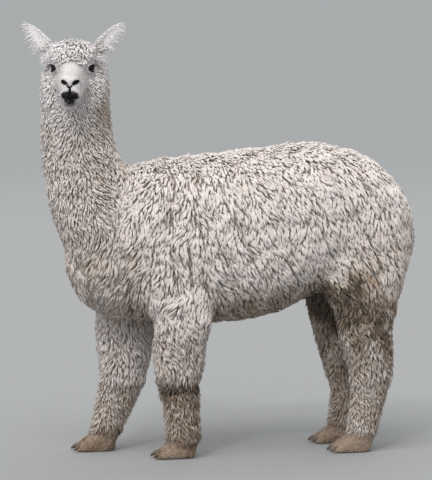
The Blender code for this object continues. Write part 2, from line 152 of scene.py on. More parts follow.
def edges_of(mesh):
    return read(mesh.edges, "vertices", 2, np.int32)


def triangles_of(mesh):
    mesh.calc_loop_triangles()
    return read(mesh.loop_triangles, "vertices", 3, np.int32)


def tree_of(mesh):
    return BVHTree.FromPolygons(points_of(mesh).tolist(), triangles_of(mesh).tolist())


def put_points(mesh, points):
    mesh.vertices.foreach_set("co", points.astype(np.float32).ravel())
    mesh.update()


def put_field(mesh, name, values):
    field = mesh.attributes.new(name, "FLOAT", "POINT")
    field.data.foreach_set("value", np.asarray(values, np.float32))


def placed(name, data):
    made = bpy.data.objects.new(name, data)
    bpy.context.scene.collection.objects.link(made)
    return made


def shown(mesh, look):
    """An object of the scene that rides on the model's one body."""
    made = placed(mesh.name, mesh)
    mesh.materials.append(look)
    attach(made, "root")
    return made


def settled(mesh, kind, chosen=None, **settings):
    """The mesh after a modifier, which keeps to the chosen vertices where some are chosen."""
    helper = placed("helper", mesh)
    modifier = helper.modifiers.new("helper", kind)
    for name, value in settings.items():
        setattr(modifier, name, value)
    if chosen is not None:
        group = helper.vertex_groups.new(name="chosen")
        group.add(np.nonzero(chosen)[0].tolist(), 1, "REPLACE")
        modifier.vertex_group = group.name
    bpy.context.view_layer.update()
    graph = bpy.context.evaluated_depsgraph_get()
    result = bpy.data.meshes.new_from_object(helper.evaluated_get(graph))
    bpy.data.objects.remove(helper, do_unlink=True)
    return result


# ---------- regions of the body

# (height, half width) of the short-haired face.
FACE_HALF_WIDTH = (
    (-0.135, 0.024), (-0.110, 0.028), (-0.080, 0.037), (-0.040, 0.054), (0.0, 0.077), (0.05, 0.085),
)
FACE_BACK = 0.030  # how far behind the eyes the short hair reaches
EAR_ROOT = np.array([0.056, 0.048, 0.047])
EAR_TIP = np.array([0.1470, 0.068, 0.1385])
MIDWAY = 0.25  # between the forelegs and the hind legs
KNEE, HOCK, FETLOCK = 0.232, 0.262, 0.062
CUFF = 0.256  # the left foreleg's long wool ends here, above its knee
CUFF_STEP = 0.009  # how far it stands out there
ELBOW, STIFLE = 0.414, 0.500

# Each region's coat: how deep it is over the skin, then its locks' length, width, spacing and curl.
MEASURES = ("depth", "length", "width", "spacing", "curl")
COAT = {
    "trunk": (0.0100, 0.039, 0.0056, 0.0106, 0.0018),
    "back": (0.0095, 0.022, 0.0052, 0.0090, 0.0034),
    "belly": (0.0100, 0.028, 0.0056, 0.0112, 0.0016),
    "neck": (0.0085, 0.025, 0.0044, 0.0078, 0.0016),
    "tail": (0.0080, 0.026, 0.0050, 0.0100, 0.0018),
    "leg": (0.0080, 0.030, 0.0050, 0.0094, 0.0020),
    "shin": (0.0048, 0.020, 0.0038, 0.0074, 0.0016),
    "foot": (0.0022, 0.009, 0.0022, 0.0056, 0.0004),
    "head": (0.0070, 0.018, 0.0036, 0.0056, 0.0018),
    "face": (0.0005, 0.008, 0.0010, 0.0029, 0.0001),
    "ear": (0.0007, 0.016, 0.0012, 0.0026, 0.0002),
}


def topknot_edge(x):
    """Height of the curls' edge over the forehead: a bare peak in the middle, smooth temples beside it."""
    side = np.abs(x)
    return 0.025 - 0.45 * np.clip(side, 0, 0.030) + 2.4 * np.clip(side - 0.040, 0, 0.03)


def wool_reach(q):
    """How far a point in the head's frame lies inside the wool; below 0 on the short-haired face."""
    x, y, z = q.T
    beside = np.abs(x) - np.interp(z, *zip(*FACE_HALF_WIDTH))
    above = z - topknot_edge(x)
    throat = np.minimum(-0.117 - z, y + 0.112)
    return np.maximum.reduce([beside, y - FACE_BACK, above, throat]) + 0.0045 * waves(q, 0.020, 11)


def ear_share(q):
    """(share of the nearer ear's length from root to tip, distance from its middle line)."""
    x, y, z = q.T
    from_root = np.stack([np.abs(x), y, z], axis=1) - EAR_ROOT
    along = EAR_TIP - EAR_ROOT
    share = from_root @ along / (along @ along)
    return share, np.linalg.norm(from_root - share[:, None] * along, axis=1)


class Regions:
    """Shares from 0 to 1 of each region at the given points, and the same points in both frames."""

    def __init__(self, points, normals):
        self.b, self.q, self.n = in_body(points), in_head(points), normals
        x, y, z = self.b.T
        up = normals[:, 2]
        share, away = ear_share(self.q)
        self.fore, self.near = y < MIDWAY, x > 0
        self.trunk = np.ones(len(x))
        self.head = ramp(1.02, 1.10, z) * ramp(-0.10, -0.16, y)
        self.ear = ramp(0.16, 0.30, share) * ramp(0.045, 0.035, away) * ramp(0.032, 0.045, self.q[:, 2])
        self.reach = wool_reach(self.q)
        self.face = self.head * ramp(0.007, -0.007, self.reach) * (1 - self.ear)
        self.neck = np.maximum(ramp(0.98, 1.06, z), ramp(-0.18, -0.26, y) * ramp(0.60, 0.78, z))
        hindleg = ramp(STIFLE + 0.05, STIFLE - 0.04, z) * ramp(0.40, 0.46, y)
        self.leg = np.where(self.fore, ramp(ELBOW + 0.05, ELBOW - 0.03, z), hindleg)
        knee = np.where(self.near, CUFF, KNEE)
        self.shin = np.where(self.fore, ramp(knee + 0.004, knee - 0.008, z), ramp(HOCK, HOCK - 0.05, z))
        self.foot = ramp(FETLOCK + 0.02, FETLOCK - 0.015, z)
        self.tail = ramp(0.735, 0.75, y) * ramp(0.075, 0.06, np.abs(x))
        self.tail = self.tail * ramp(0.56, 0.60, z) * ramp(0.93, 0.90, z)
        self.back = ramp(0.55, 0.90, up) * ramp(0.75, 0.85, z) * (1 - self.neck)
        self.belly = ramp(-0.3, -0.75, up) * (1 - self.head) * ramp(0.30, 0.42, z)

    def breast(self):
        _, y, z = self.b.T
        return ramp(-0.05, -0.20, y) * ramp(0.80, 0.66, z) * ramp(0.40, 0.46, z)

    def front(self):
        """The head without its back."""
        return self.head * ramp(0.11, 0.02, self.q[:, 1])

    def coat(self, what):
        """One of the coat's measures at each point."""
        column = MEASURES.index(what)
        found = 0
        for name, numbers in COAT.items():
            found = mix(found, numbers[column], getattr(self, name))
        if what == "depth":
            z = self.b[:, 2]
            cuff = CUFF_STEP * ramp(CUFF - 0.006, CUFF - 0.022, z) * ramp(0.190, 0.205, z)
            found += cuff * self.fore * self.near
        return found


# ---------- the skin

VOXEL = 0.004
OVERLAP = 0.0005  # each node is grown by this, so that neighbours join across their thin gaps
WELD = 0.00001
SKIN_TRIANGLES = 90000


def flesh_shell():
    """The nodes of flesh and the eyes as one closed surface."""
    bm = bmesh.new()
    for name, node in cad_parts.items():
        if "nail" not in name:
            bm.from_mesh(node.data)
    bmesh.ops.remove_doubles(bm, verts=bm.verts, dist=WELD)
    bm.normal_update()
    for vertex in bm.verts:
        vertex.co += vertex.normal * OVERLAP
    mesh = bpy.data.meshes.new("shell")
    bm.to_mesh(mesh)
    bm.free()
    return settled(mesh, "REMESH", mode="VOXEL", voxel_size=VOXEL)


def sink(mesh):
    """Smooths the surface and moves it in by the depth of the coat."""
    edges, points = edges_of(mesh), points_of(mesh)
    regions = Regions(points, normals_of(mesh))
    depth = relaxed(regions.coat("depth")[:, None], edges, 12)
    softness = np.clip(depth / 0.012, 0, 1)
    points = relaxed(points, edges, 2, 0.8)
    points = relaxed(points, edges, 50, softness)
    for _ in range(3):
        put_points(mesh, points)
        points = relaxed(points - normals_of(mesh) * depth / 3, edges, 3, softness)
    put_points(mesh, points)
    return mesh


def thinned(mesh):
    """The skin with fewer triangles where wool covers it."""
    regions = Regions(points_of(mesh), normals_of(mesh))
    covered = np.maximum(regions.face, regions.ear) < 0.02
    ratio = SKIN_TRIANGLES / len(triangles_of(mesh))
    return settled(mesh, "DECIMATE", covered, ratio=ratio, use_collapse_triangulate=True)


# ---------- the face, in the head's frame

NOSTRIL = np.array([0.0172, -0.0415])  # its middle, across and up
NOSTRIL_SLANT = radians(27)
NOSTRIL_HALF = (0.0096, 0.0058)
NOSTRIL_DEPTH = (0, 0.0125, 0.0024)
MOUTH_Z, MOUTH_CORNER_Z, MOUTH_REACH = -0.0905, -0.080, radians(62)
MUZZLE_Y = -0.094
LID = 0.0016  # thickness of an eyelid over the eyeball
LID_EDGE = 0.0015  # how far inside the eyeball's surface the lid's edge is turned
EYE_FORWARD = radians(33)  # from straight out to the side
EYE_OPEN = (radians(50), radians(38), radians(32))  # half length, up and down


def finer(mesh, chosen):
    """Splits the triangles that chosen(points) marks in four."""
    bm = bmesh.new()
    bm.from_mesh(mesh)
    marks = chosen(np.array([vertex.co for vertex in bm.verts]))
    edges = [e for e in bm.edges if marks[e.verts[0].index] and marks[e.verts[1].index]]
    bmesh.ops.subdivide_edges(bm, edges=edges, cuts=1, use_grid_fill=True)
    bmesh.ops.triangulate(bm, faces=[f for f in bm.faces if len(f.verts) > 4])
    bm.to_mesh(mesh)
    bm.free()


def from_eye(points):
    """Distance from the nearer eye's middle."""
    return np.minimum(*(np.linalg.norm(points - np.array(EYE[side]), axis=1) for side in EYE))


def on_face(points):
    q = in_head(points)
    return (wool_reach(q) < 0.008) & (q[:, 2] > -0.15) & (q[:, 2] < 0.06)


def on_feature(points):
    """The muzzle's front and the surroundings of the eyes."""
    x, y, z = in_head(points).T
    muzzle = (y < -0.105) & (np.abs(x) < 0.045) & (z > -0.13) & (z < -0.01)
    return muzzle | (from_eye(points) < EYE_RADIUS + 0.009)


def nostril_place(q):
    """Slanted coordinates in a nostril, 1 at its rim: along it outwards, and across it upwards."""
    u, v = np.abs(q[:, 0]) - NOSTRIL[0], q[:, 2] - NOSTRIL[1]
    c, s = cos(NOSTRIL_SLANT), sin(NOSTRIL_SLANT)
    return (u * c + v * s) / NOSTRIL_HALF[0], (v * c - u * s) / NOSTRIL_HALF[1]


def mouth_place(q):
    """(height over the line between the lips, angle round the muzzle from its front)."""
    around = np.arctan2(np.abs(q[:, 0]), MUZZLE_Y - q[:, 1])
    return q[:, 2] - (MOUTH_Z + (MOUTH_CORNER_Z - MOUTH_Z) * (around / MOUTH_REACH) ** 2), around


def distance_to(x, z, start, end):
    """Distance in front view from the points to a straight line."""
    line = np.array(end) - np.array(start)
    offset = np.stack([x - start[0], z - start[1]], axis=1)
    t = np.clip(offset @ line / (line @ line), 0, 1)
    return np.linalg.norm(offset - t[:, None] * line, axis=1)


def sculpt_muzzle(q, n):
    """The points moved into nostrils, the split lip, the mouth and the folds round them."""
    x, y, z = q.T
    side = np.abs(x)
    front = ramp(-0.112, -0.126, y) * ramp(0.1, -0.3, n[:, 1])
    along, across = nostril_place(q)
    hole = ramp(1.05, 0.55, np.hypot(along, across)) * front
    wing = hill(np.hypot(along * 0.62, across - 1.9), 1.25) * front
    under = hill(np.hypot(along * 0.8, across + 1.7), 0.9) * front
    slit = hill(distance_to(side, z, (0.0105, -0.0455), (0.0, -0.0560)), 0.0024) * front
    philtrum = hill(side, 0.0022) * ramp(-0.086, -0.078, z) * ramp(-0.050, -0.056, z) * front
    over, around = mouth_place(q)
    lips = ramp(MOUTH_REACH, MOUTH_REACH * 0.8, around) * ramp(-0.090, -0.100, y)
    mouth = hill(over, 0.0028) * lips
    below = hill(over + 0.009, 0.006) * lips
    above = hill(over - 0.012, 0.009) * lips * ramp(0.0, 0.007, side)
    crease = hill(over + 0.0195, 0.0026) * lips * ramp(radians(45), 0, around)
    chin = hill(over + 0.030, 0.008) * lips * ramp(radians(50), 0, around)
    bridge = hill(side, 0.012) * hill(z + 0.016, 0.009) * ramp(-0.07, -0.09, y)
    cheek = hill(side - 0.047, 0.012) * hill(z + 0.050, 0.024) * ramp(-0.03, -0.06, y)
    tear = hill(side - 0.038, 0.010) * hill(z + 0.014, 0.018) * ramp(0.0, -0.03, y)
    push = 0.0034 * wing + 0.0012 * under + 0.0009 * below + 0.0030 * above + 0.0020 * chin
    push -= 0.0022 * slit + 0.0034 * philtrum + 0.0046 * mouth + 0.0018 * crease
    push -= 0.0020 * bridge + 0.0062 * cheek + 0.0052 * tear
    return q + n * push[:, None] + hole[:, None] * NOSTRIL_DEPTH


def eye_place(q, side):
    """(distance from the eye's middle, angle along its opening, angle up from its axis)."""
    x, y, z = (q - EYE_AT[side]).T
    far = np.linalg.norm(q - EYE_AT[side], axis=1)
    forward = np.arctan2(-y, x * side) - EYE_FORWARD
    up = np.arcsin(np.clip(z / np.maximum(far, 1e-9), -1, 1))
    return far, (forward + pi) % (2 * pi) - pi, up


def lid_share(forward, up):
    """0 at the middle of the almond between the lids, 1 at its edge."""
    tilted = up - 0.06 * forward
    half = np.where(tilted > 0, EYE_OPEN[1], EYE_OPEN[2])
    return np.sqrt((np.abs(forward) / EYE_OPEN[0]) ** 2 + (tilted / half) ** 2)


def on_lid(side, forward, up):
    """(a direction from an eye's middle, by its angles forward and up, the lid's place that way)."""
    way = np.array([side * cos(forward) * cos(up), -sin(forward) * cos(up), sin(up)])
    return way, from_head(EYE_AT[side] + way * (EYE_RADIUS + LID))


def sculpt_lids(q, side):
    """The skin round an eye laid over the eyeball, with a fold above the upper lid."""
    far, forward, up = eye_place(q, side)
    share = lid_share(forward, up)
    least = EYE_RADIUS + LID + 0.0014 * hill(share - 1.25, 0.22)
    fold = 0.0016 * hill(share - 1.62, 0.13) * ramp(0, 0.3, up)
    target = np.where(share < 1.4, least, np.maximum(far, least))
    moved = mix(far, target, ramp(1.75, 1.30, share)) - fold * ramp(2.2, 1.9, share)
    moved = np.maximum(moved, EYE_RADIUS + 0.7 * LID)
    close = (far < EYE_RADIUS + 0.012) & (np.abs(forward) < radians(100))
    return np.where(close[:, None], q + unit(q - EYE_AT[side]) * (moved - far)[:, None], q)


def open_lids(mesh):
    """Opens the almond between the lids and turns its edge in towards the eyeball."""
    bm = bmesh.new()
    bm.from_mesh(mesh)
    for side, centre in EYE.items():
        bm.verts.index_update()
        far, forward, up = eye_place(in_head(np.array([vertex.co for vertex in bm.verts])), side)
        close = (far < EYE_RADIUS + 0.010) & (far > EYE_RADIUS * 0.8)
        inside = (lid_share(forward, up) < 1) & close
        gone = [f for f in bm.faces if any(inside[v.index] for v in f.verts)]
        lost = set(gone)
        rim = [e for e in bm.edges if sum(f in lost for f in e.link_faces) == 1]
        bmesh.ops.delete(bm, geom=gone, context="FACES_ONLY")
        inner = {}
        for vertex in dict.fromkeys(v for e in rim for v in e.verts):
            _, forward, up = eye_place(in_head(np.array([vertex.co])), side)
            share = lid_share(forward, up)[0]
            vertex.co = on_lid(side, forward[0] / share + EYE_FORWARD, up[0] / share)[1]
            inward = (vertex.co - centre).normalized() * (EYE_RADIUS - LID_EDGE)
            inner[vertex] = bm.verts.new(centre + inward)
        for loop in [e.link_loops[0] for e in rim]:
            a, b = loop.vert, loop.link_loop_next.vert
            bm.faces.new((b, a, inner[a], inner[b]))
        loose = [v for v in bm.verts if not v.link_faces]
        bmesh.ops.delete(bm, geom=loose, context="VERTS")
    bm.to_mesh(mesh)
    bm.free()


def sculpt_face(mesh):
    for chosen in (on_face, on_feature):
        finer(mesh, chosen)
    points = points_of(mesh)
    face = on_face(points).astype(float)
    points = relaxed(points, edges_of(mesh), 10, face)
    put_points(mesh, points)
    q, n = in_head(points), normals_of(mesh) @ HEAD_AXES.T
    q = mix(q, sculpt_muzzle(q, n), face[:, None])
    for side in EYE:
        q = sculpt_lids(q, side)
    put_points(mesh, from_head(q))
    open_lids(mesh)
    return mesh


def dark_skin(points):
    """Share of dark bare skin: nostrils, lips and the lids' edges, and the chin's dark hair, partly damp
    and partly painted shade under the lips.
    """
    q = in_head(points)
    x, y, z = q.T
    side = np.abs(x)
    ragged = 0.0022 * waves(q, 0.009, 21) + 0.0012 * waves(q, 0.004, 22)
    frayed = side + 0.5 * ragged
    over, around = mouth_place(q)
    nostril = ramp(1.42, 1.12, np.hypot(*nostril_place(q)) + 25 * ragged)
    to_slit = distance_to(side, z, (0.0125, -0.0460), (0, -0.0575))
    slit = ramp(0.0046, 0.0028, to_slit + 0.5 * ragged)
    philtrum = ramp(0.0046, 0.0024, frayed) * ramp(-0.092, -0.086, z) * ramp(-0.050, -0.054, z)
    lobe = np.hypot((side - 0.0115) / 0.0145, (over - 0.0085) / 0.0130) + 45 * ragged
    top = 0.0305 - 0.55 * side - 14 * side**2 + 1.6 * ragged
    peak = ramp(top + 0.002, top - 0.004, over) * ramp(-0.006, 0.0, over) * ramp(0.028, 0.022, side)
    lower = ramp(-0.024, -0.016, over + 2 * ragged) * ramp(0.004, 0.0, over)
    lower = lower * ramp(0.0035, -0.0035, side + 1.5 * ragged - 0.0215 - 0.50 * over)
    # The chin's dark hair below the lower lip: partly damp, partly painted shade under the lips.
    damp_and_shade = ramp(-0.008, -0.014, over) * ramp(-0.042, -0.026, over + 2 * ragged)
    damp_and_shade = 0.66 * damp_and_shade * ramp(0.022, 0.012, side + 2 * ragged)
    line = 0.9 * hill(over, 0.0020) * ramp(radians(36), radians(24), around)
    front = np.where(z > MOUTH_Z, ramp(-0.096, -0.108, y), ramp(-0.066, -0.082, y))
    mottled = 1 - 0.05 * ramp(0.1, 0.7, waves(q, 0.010, 23)) * ramp(0.004, 0.010, side)
    parts = [nostril, slit, philtrum, ramp(1.14, 0.90, lobe), peak, lower, damp_and_shade, line]
    dark = np.maximum.reduce(parts) * front * mottled
    for eye in EYE:
        far, forward, up = eye_place(q, eye)
        rim = ramp(1.26, 1.10, lid_share(forward, up))
        dark = np.maximum(dark, rim * ramp(EYE_RADIUS + 0.016, EYE_RADIUS + 0.010, far))
    return np.clip(dark, 0, 1)


# ---------- markings


def soil(points, normals):
    """Share of dust and dried mud in the coat, with painted shade on the belly, breast and throat and in
    the fold between belly and thigh: up to 0.5 a tan tinge, near 1 dark mud or deep shade.
    """
    r = Regions(points, normals)
    x, y, z = r.b.T
    fore, near = r.fore, r.near
    blotch = 0.5 + 0.5 * waves(r.b, 0.075, 3)
    fine = 0.5 + 0.5 * waves(r.b, 0.024, 4)
    slope = z + 0.35 * (y - 0.52) + 0.045 * waves(r.b, 0.075, 5)
    thigh = ramp(0.42, 0.52, y) * ramp(0.67, 0.47, slope) * ramp(0.30, 0.48, slope) * 0.80
    groin = (x < 0.02) * ramp(-0.2, 0.3, normals[:, 0]) * hill(y - 0.49, 0.06)
    hock = np.where(near, 0.28, 0.44) + 0.20 * ramp(0.58, 0.68, y)
    # painted shade low on the body between the legs
    under = ramp(0.60, 0.49, z) * ramp(0.04, 0.10, y) * ramp(0.42, 0.36, y) * 0.16
    throat = hill(r.q[:, 0], 0.024) * hill(r.q[:, 2] + 0.126, 0.016)
    shin = np.where(fore & near, 0.70 - 0.14 * ramp(0.20, 0.12, z), 0.30)
    places = {
        "thigh": thigh + hill(y - 0.488, 0.062) * hill(slope - 0.497, 0.052) * 1.10,
        "rump": ramp(0.40, 0.58, y) * ramp(0.86, 0.62, z) * 0.20,
        # groin and stifle: painted shade in the fold between belly and thigh, with some dirt
        "groin": groin * ramp(0.55, 0.50, z) * ramp(0.36, 0.47, z) * 1.2,
        "stifle": hill(y - 0.42, 0.045) * hill(z - 0.49, 0.05),
        "hind leg": (y > 0.40) * ramp(0.47, 0.40, z) * hock,
        "elbow": hill(z - 0.40, 0.035) * fore * ~near * ramp(-0.12, -0.02, y) * 0.5,
        "cuff": hill(z - 0.232, 0.018) * fore * near * 1.9,
        "shin": ramp(0.246, 0.232, z) * shin,
        "ankle": ramp(0.14, 0.06, z) * np.where(fore, 0.62, 0.40),
        # belly and breast: painted shade on the underside, with some dust
        "belly": r.belly * 0.34 + under,
        "breast": ramp(-0.04, -0.20, y) * hill(z - 0.60, 0.17) * 0.24,
        "flank": hill(y + 0.24, 0.10) * hill(z - 0.90, 0.16) * near * 0.18,
        "nape": hill(z - 1.08, 0.07) * ramp(-0.33, -0.26, y) * near * 0.38,
        # throat: painted shade under the chin
        "throat": throat * ramp(-0.04, -0.07, r.q[:, 1]) * 0.45,
    }
    dirt_and_shade = np.maximum.reduce(list(places.values())) * (0.45 + 0.45 * blotch + 0.55 * fine)
    tinge = 0.10 * ramp(0.5, 1.0, blotch) + 0.18 * r.leg * fore * near
    dirt_and_shade = np.maximum(dirt_and_shade, tinge * (1 - r.head))
    return np.clip(np.maximum(dirt_and_shade, 0.50 * r.foot) * (1 - r.face) * (1 - r.ear), 0, 1)


# ---------- materials

WHITE, BLACK = (1.0, 1.0, 1.0), (0.0, 0.0, 0.0)
# Wool colours from root to tip: the darker root is partly dust and partly painted shade deep in the
# fleece.
ROOT, WOOL, TIP = (0.67, 0.585, 0.525), (0.81, 0.745, 0.715), (0.88, 0.825, 0.805)
HAIR, DARK = (0.96, 0.93, 0.93), (0.006, 0.005, 0.0055)
# What soil and painted shade leave of the wool's colour, from clean to caked or deep in shade.
DIRT_AND_SHADE = ((0.0, WHITE), (0.30, (0.70, 0.65, 0.59)), (0.60, (0.42, 0.33, 0.24)), (1.0, (0.115, 0.080, 0.050)))
# What a strand's shade value leaves of its colour: the dark end is painted shade on strands beside a
# parting, the rest random tone up to a bright strand.
SHADES = (
    (0.0, (0.42, 0.355, 0.305)), (0.07, (0.85, 0.82, 0.79)), (0.30, (0.95, 0.93, 0.91)), (0.7, WHITE),
)
FIBRES = 9  # streaks round a strand
PATCH = 0.003  # size of a strand's patch on its piece's unwrap


class Shader:
    """The nodes of a new material or world, and short names for what they need."""

    def __init__(self, owner, **sockets):
        owner.use_nodes = True
        self.owner, self.tree = owner, owner.node_tree
        self.surface = self.tree.nodes.get("Principled BSDF") or self.tree.nodes["Background"]
        self.fill(self.surface, {name.replace("_", " "): value for name, value in sockets.items()})

    def fill(self, node, sockets):
        """Puts links, colours or numbers into a node's sockets, each under its name or number."""
        for key, value in sockets.items():
            socket = node.inputs[key]
            if isinstance(value, bpy.types.NodeSocket):
                self.tree.links.new(value, socket)
            else:
                socket.default_value = (*value, 1) if socket.type == "RGBA" else value

    def node(self, kind, sockets, **settings):
        made = self.tree.nodes.new("ShaderNode" + kind)
        for name, value in settings.items():
            setattr(made, name, value)
        self.fill(made, sockets)
        return made.outputs

    def field(self, name):
        return self.node("Attribute", {}, attribute_name=name)["Fac"]

    def where(self):
        return self.node("TexCoord", {})["Object"]

    def vector(self, kind, *values):
        return self.node("VectorMath", dict(enumerate(values)), operation=kind)

    def maths(self, kind, *values):
        return self.node("Math", dict(enumerate(values)), operation=kind)["Value"]

    def blended(self, share, a, b, kind="MIX"):
        """A colour between a and b, each a colour or a socket."""
        return self.node("Mix", {0: share, 6: a, 7: b}, data_type="RGBA", blend_type=kind)[2]

    def tinted(self, colour, *tints):
        for tint in tints:
            colour = self.blended(1.0, colour, tint, "MULTIPLY")
        return colour

    def noise(self, scale, detail, stretch=(1, 1, 1), roughness=0.55, place=None):
        place = self.where() if place is None else place
        place = self.node("Mapping", {"Vector": place, "Scale": stretch})["Vector"]
        sockets = {"Vector": place, "Scale": scale, "Detail": detail, "Roughness": roughness}
        return self.node("TexNoise", sockets)["Fac"]

    def ramp(self, value, *stops):
        """A colour from a share, through (share, colour) stops."""
        made = self.tree.nodes.new("ShaderNodeValToRGB")
        elements = made.color_ramp.elements
        while len(elements) < len(stops):
            elements.new(0.5)
        for element, (place, colour) in zip(elements, stops):
            element.position = place
            element.color = (*colour, 1)
        self.fill(made, {"Fac": value})
        return made.outputs["Color"]

    def bump(self, height, strength, distance):
        sockets = {"Height": height, "Strength": strength, "Distance": distance}
        self.fill(self.surface, {"Normal": self.node("Bump", sockets)["Normal"]})

    def paint(self, colour):
        self.fill(self.surface, {"Base Color": colour})
        return self.owner


def shader(name, roughness, specular, **sockets):
    owner = bpy.data.materials.new(name)
    return Shader(owner, Roughness=roughness, Specular_IOR_Level=specular, **sockets)


def darker(colour, share):
    return tuple(channel * share for channel in colour)


def fleece_material():
    """Wool that is darker at its roots, partly dust and partly painted shade, and clean at its tips, with
    mud and painted shade where the soil field says.
    """
    s = shader("fleece", 0.95, 0.2, Sheen_Weight=0.34, Sheen_Roughness=0.6)
    wool = s.ramp(s.field("along"), (0.0, ROOT), (0.40, WOOL), (0.90, TIP))
    strand = s.node("UVMap", {}, uv_map="OFBake")["UV"]
    fibre = s.noise(1.0, 2.0, (FIBRES / PATCH, 1.2 / PATCH, 1), 0.6, strand)
    streak = s.ramp(fibre, (0.25, (0.84, 0.82, 0.80)), (0.60, WHITE))
    shade, mud_and_shade = s.ramp(s.field("shade"), *SHADES), s.ramp(s.field("soil"), *DIRT_AND_SHADE)
    colour = s.tinted(s.blended(s.field("short"), wool, HAIR), shade, streak, mud_and_shade)
    s.bump(fibre, 0.6, 0.0008)
    return s.paint(s.blended(s.field("dark"), colour, darker(DARK, 2.5)))


def skin_material():
    """Short white hair on the face, the wool's base under the locks, darker along the partings as painted
    shade, and dark bare skin.
    """
    s = shader("skin", 0.80, 0.12)
    grain = s.noise(900, 2.0, (1.0, 1.0, 0.35))
    white = s.blended(s.noise(45, 3.0), darker(HAIR, 0.62), darker(HAIR, 0.73))
    white = s.tinted(white, s.ramp(grain, (0.2, (0.86, 0.84, 0.83)), (0.7, WHITE)))
    # The wool's base darkens along the partings: painted shade in the gaps between locks.
    under = s.blended(s.field("parting_shade"), darker(ROOT, 0.92), darker(ROOT, 0.22))
    under = s.tinted(under, s.ramp(s.field("soil"), *DIRT_AND_SHADE))
    bare = s.blended(s.noise(260, 3.0), DARK, darker(DARK, 2.6))
    s.bump(grain, 0.35, 0.0012)
    return s.paint(s.blended(s.field("dark"), s.blended(s.field("wool"), white, under), bare))


PUPIL_HALF = (0.55, 0.30)  # along and up, as shares of the eye's radius


def eye_material(name, centre, gaze):
    """A dark eye with a barely lighter iris and a level pupil."""
    s = shader(name, 0.02, 0.5, IOR=1.33)
    offset = s.vector("SUBTRACT", s.where(), centre)["Vector"]
    squares = []
    for way, half in zip((UP.cross(gaze).normalized(), UP), PUPIL_HALF):
        level = s.vector("DOT_PRODUCT", offset, way / (EYE_RADIUS * half))["Value"]
        squares.append(s.maths("MULTIPLY", level, level))
    iris = s.blended(s.noise(600, 2.0), (0.006, 0.004, 0.003), (0.014, 0.008, 0.005))
    return s.paint(s.tinted(iris, s.ramp(s.maths("ADD", *squares), (0.80, BLACK), (1.0, WHITE))))


def lash_material():
    s = shader("lashes", 0.5, 0.3)
    return s.paint(s.ramp(s.field("along"), (0.0, (0.012, 0.009, 0.008)), (1.0, (0.05, 0.04, 0.035))))


def horn_material():
    s = shader("horn", 0.5, 0.4)
    streak = s.noise(120, 4.0, (3.0, 1.0, 0.6))
    s.bump(streak, 0.4, 0.001)
    return s.paint(s.ramp(streak, (0.25, (0.035, 0.026, 0.020)), (0.75, (0.16, 0.120, 0.085))))


# ---------- the coat's lie and its partings

# (height, place from front to back) of the neck's middle line.
NECK_CENTRE = ((0.62, -0.10), (0.79, -0.241), (0.914, -0.300), (1.03, -0.318), (1.2, -0.326))
# (height, angle in degrees from the left) of the line where the neck's locks part.
NECK_PART = ((0.62, 90), (0.80, 66), (0.95, 40), (1.10, 16))
PARTING_GAP, PARTING_SIZE, PARTING_STRETCH = 0.0020, 0.058, 0.80
PARTING_HALF, CLEFT_HALF = 0.0030, 0.0045  # a parting's width in the coat and on the skin
PARTING_STEP = 0.001  # over which the field's slope is taken
PARTING_STEEP = 12  # the least slope, so that no parting is too wide


def turned(ways, normals, angles):
    """Directions turned about the normals."""
    return ways * np.cos(angles)[:, None] + np.cross(normals, ways) * np.sin(angles)[:, None]


def flattened(ways, normals):
    """Directions laid down along the surface."""
    return unit(ways - normals * np.sum(ways * normals, axis=1, keepdims=True))


def lie_of(r):
    """The way the coat lies at each point, along the surface."""
    x, y, z = r.b.T

    def ways(*columns):
        return np.stack([np.zeros(len(x)) + column for column in columns], axis=1)

    side = np.sign(x) * ramp(0, 0.03, np.abs(x))
    back = 0.80 * ramp(-0.16, 0.16, y) - 0.42 + 0.5 * r.back
    lie = ways(side * (0.25 + 0.9 * r.back), back, -1)
    place = np.arctan2(np.interp(z, *zip(*NECK_CENTRE)) - y, x)
    apart = place - np.radians(np.interp(z, *zip(*NECK_PART)))
    apart = (apart + pi) % (2 * pi) - pi
    spread = np.clip(-apart / radians(60), -1, 1) * ramp(radians(165), radians(120), np.abs(apart))
    neck = ways(np.sin(place), np.cos(place), 0) * (0.50 * spread)[:, None] - [0, 0, 1]
    leg = ways(side * 0.15, 0.12, -1)
    for share, way in ((r.neck, neck), (r.tail, leg), (r.leg, leg)):
        lie = mix(lie, way, share[:, None])
    out, up = np.sign(r.q[:, 0]), r.q[:, 2]
    crown = unit(r.q - [0, 0.030, 0.030])
    crown[:, 1] -= 0.35 * ramp(0.0, 0.03, up)
    head = mix(ways(out * 0.55, 0.25, -1), crown, ramp(-0.005, 0.03, up)[:, None])
    head = mix(head, unit((r.q - [0, -0.150, -0.040]) * [1, 1.6, 1]), r.face[:, None])
    along = unit(EAR_TIP - EAR_ROOT)
    head = mix(head, ways(out * (along[0] + 0.15), along[1], along[2] - 0.15), r.ear[:, None])
    return flattened(mix(lie, head @ HEAD_AXES, r.head[:, None]), r.n)


def partings(b):
    """(a smooth field whose zeros are the partings that run down the fleece, how open they are)."""
    fore, rear = (unit(np.array([0, back, -0.9]))[None] for back in (-0.46, 0.40))
    falls = mix(fore, rear, ramp(-0.14, 0.06, b[:, 1])[:, None])
    squeezed = b - PARTING_STRETCH * np.sum(b * falls, axis=1, keepdims=True) * falls
    return waves(squeezed, PARTING_SIZE, 31), ramp(-0.4, 0.4, waves(squeezed, 0.060, 32))


def openness(r):
    """How far the partings may open in each region."""
    neck = 0.6 * r.neck * ramp(0.66, 0.80, r.b[:, 2])
    return 1 - np.maximum.reduce([r.head, neck, 0.9 * r.leg, 0.3 * r.back, r.foot])


def slope_along(b, way, here):
    return (partings(b + way * PARTING_STEP)[0] - here) / PARTING_STEP


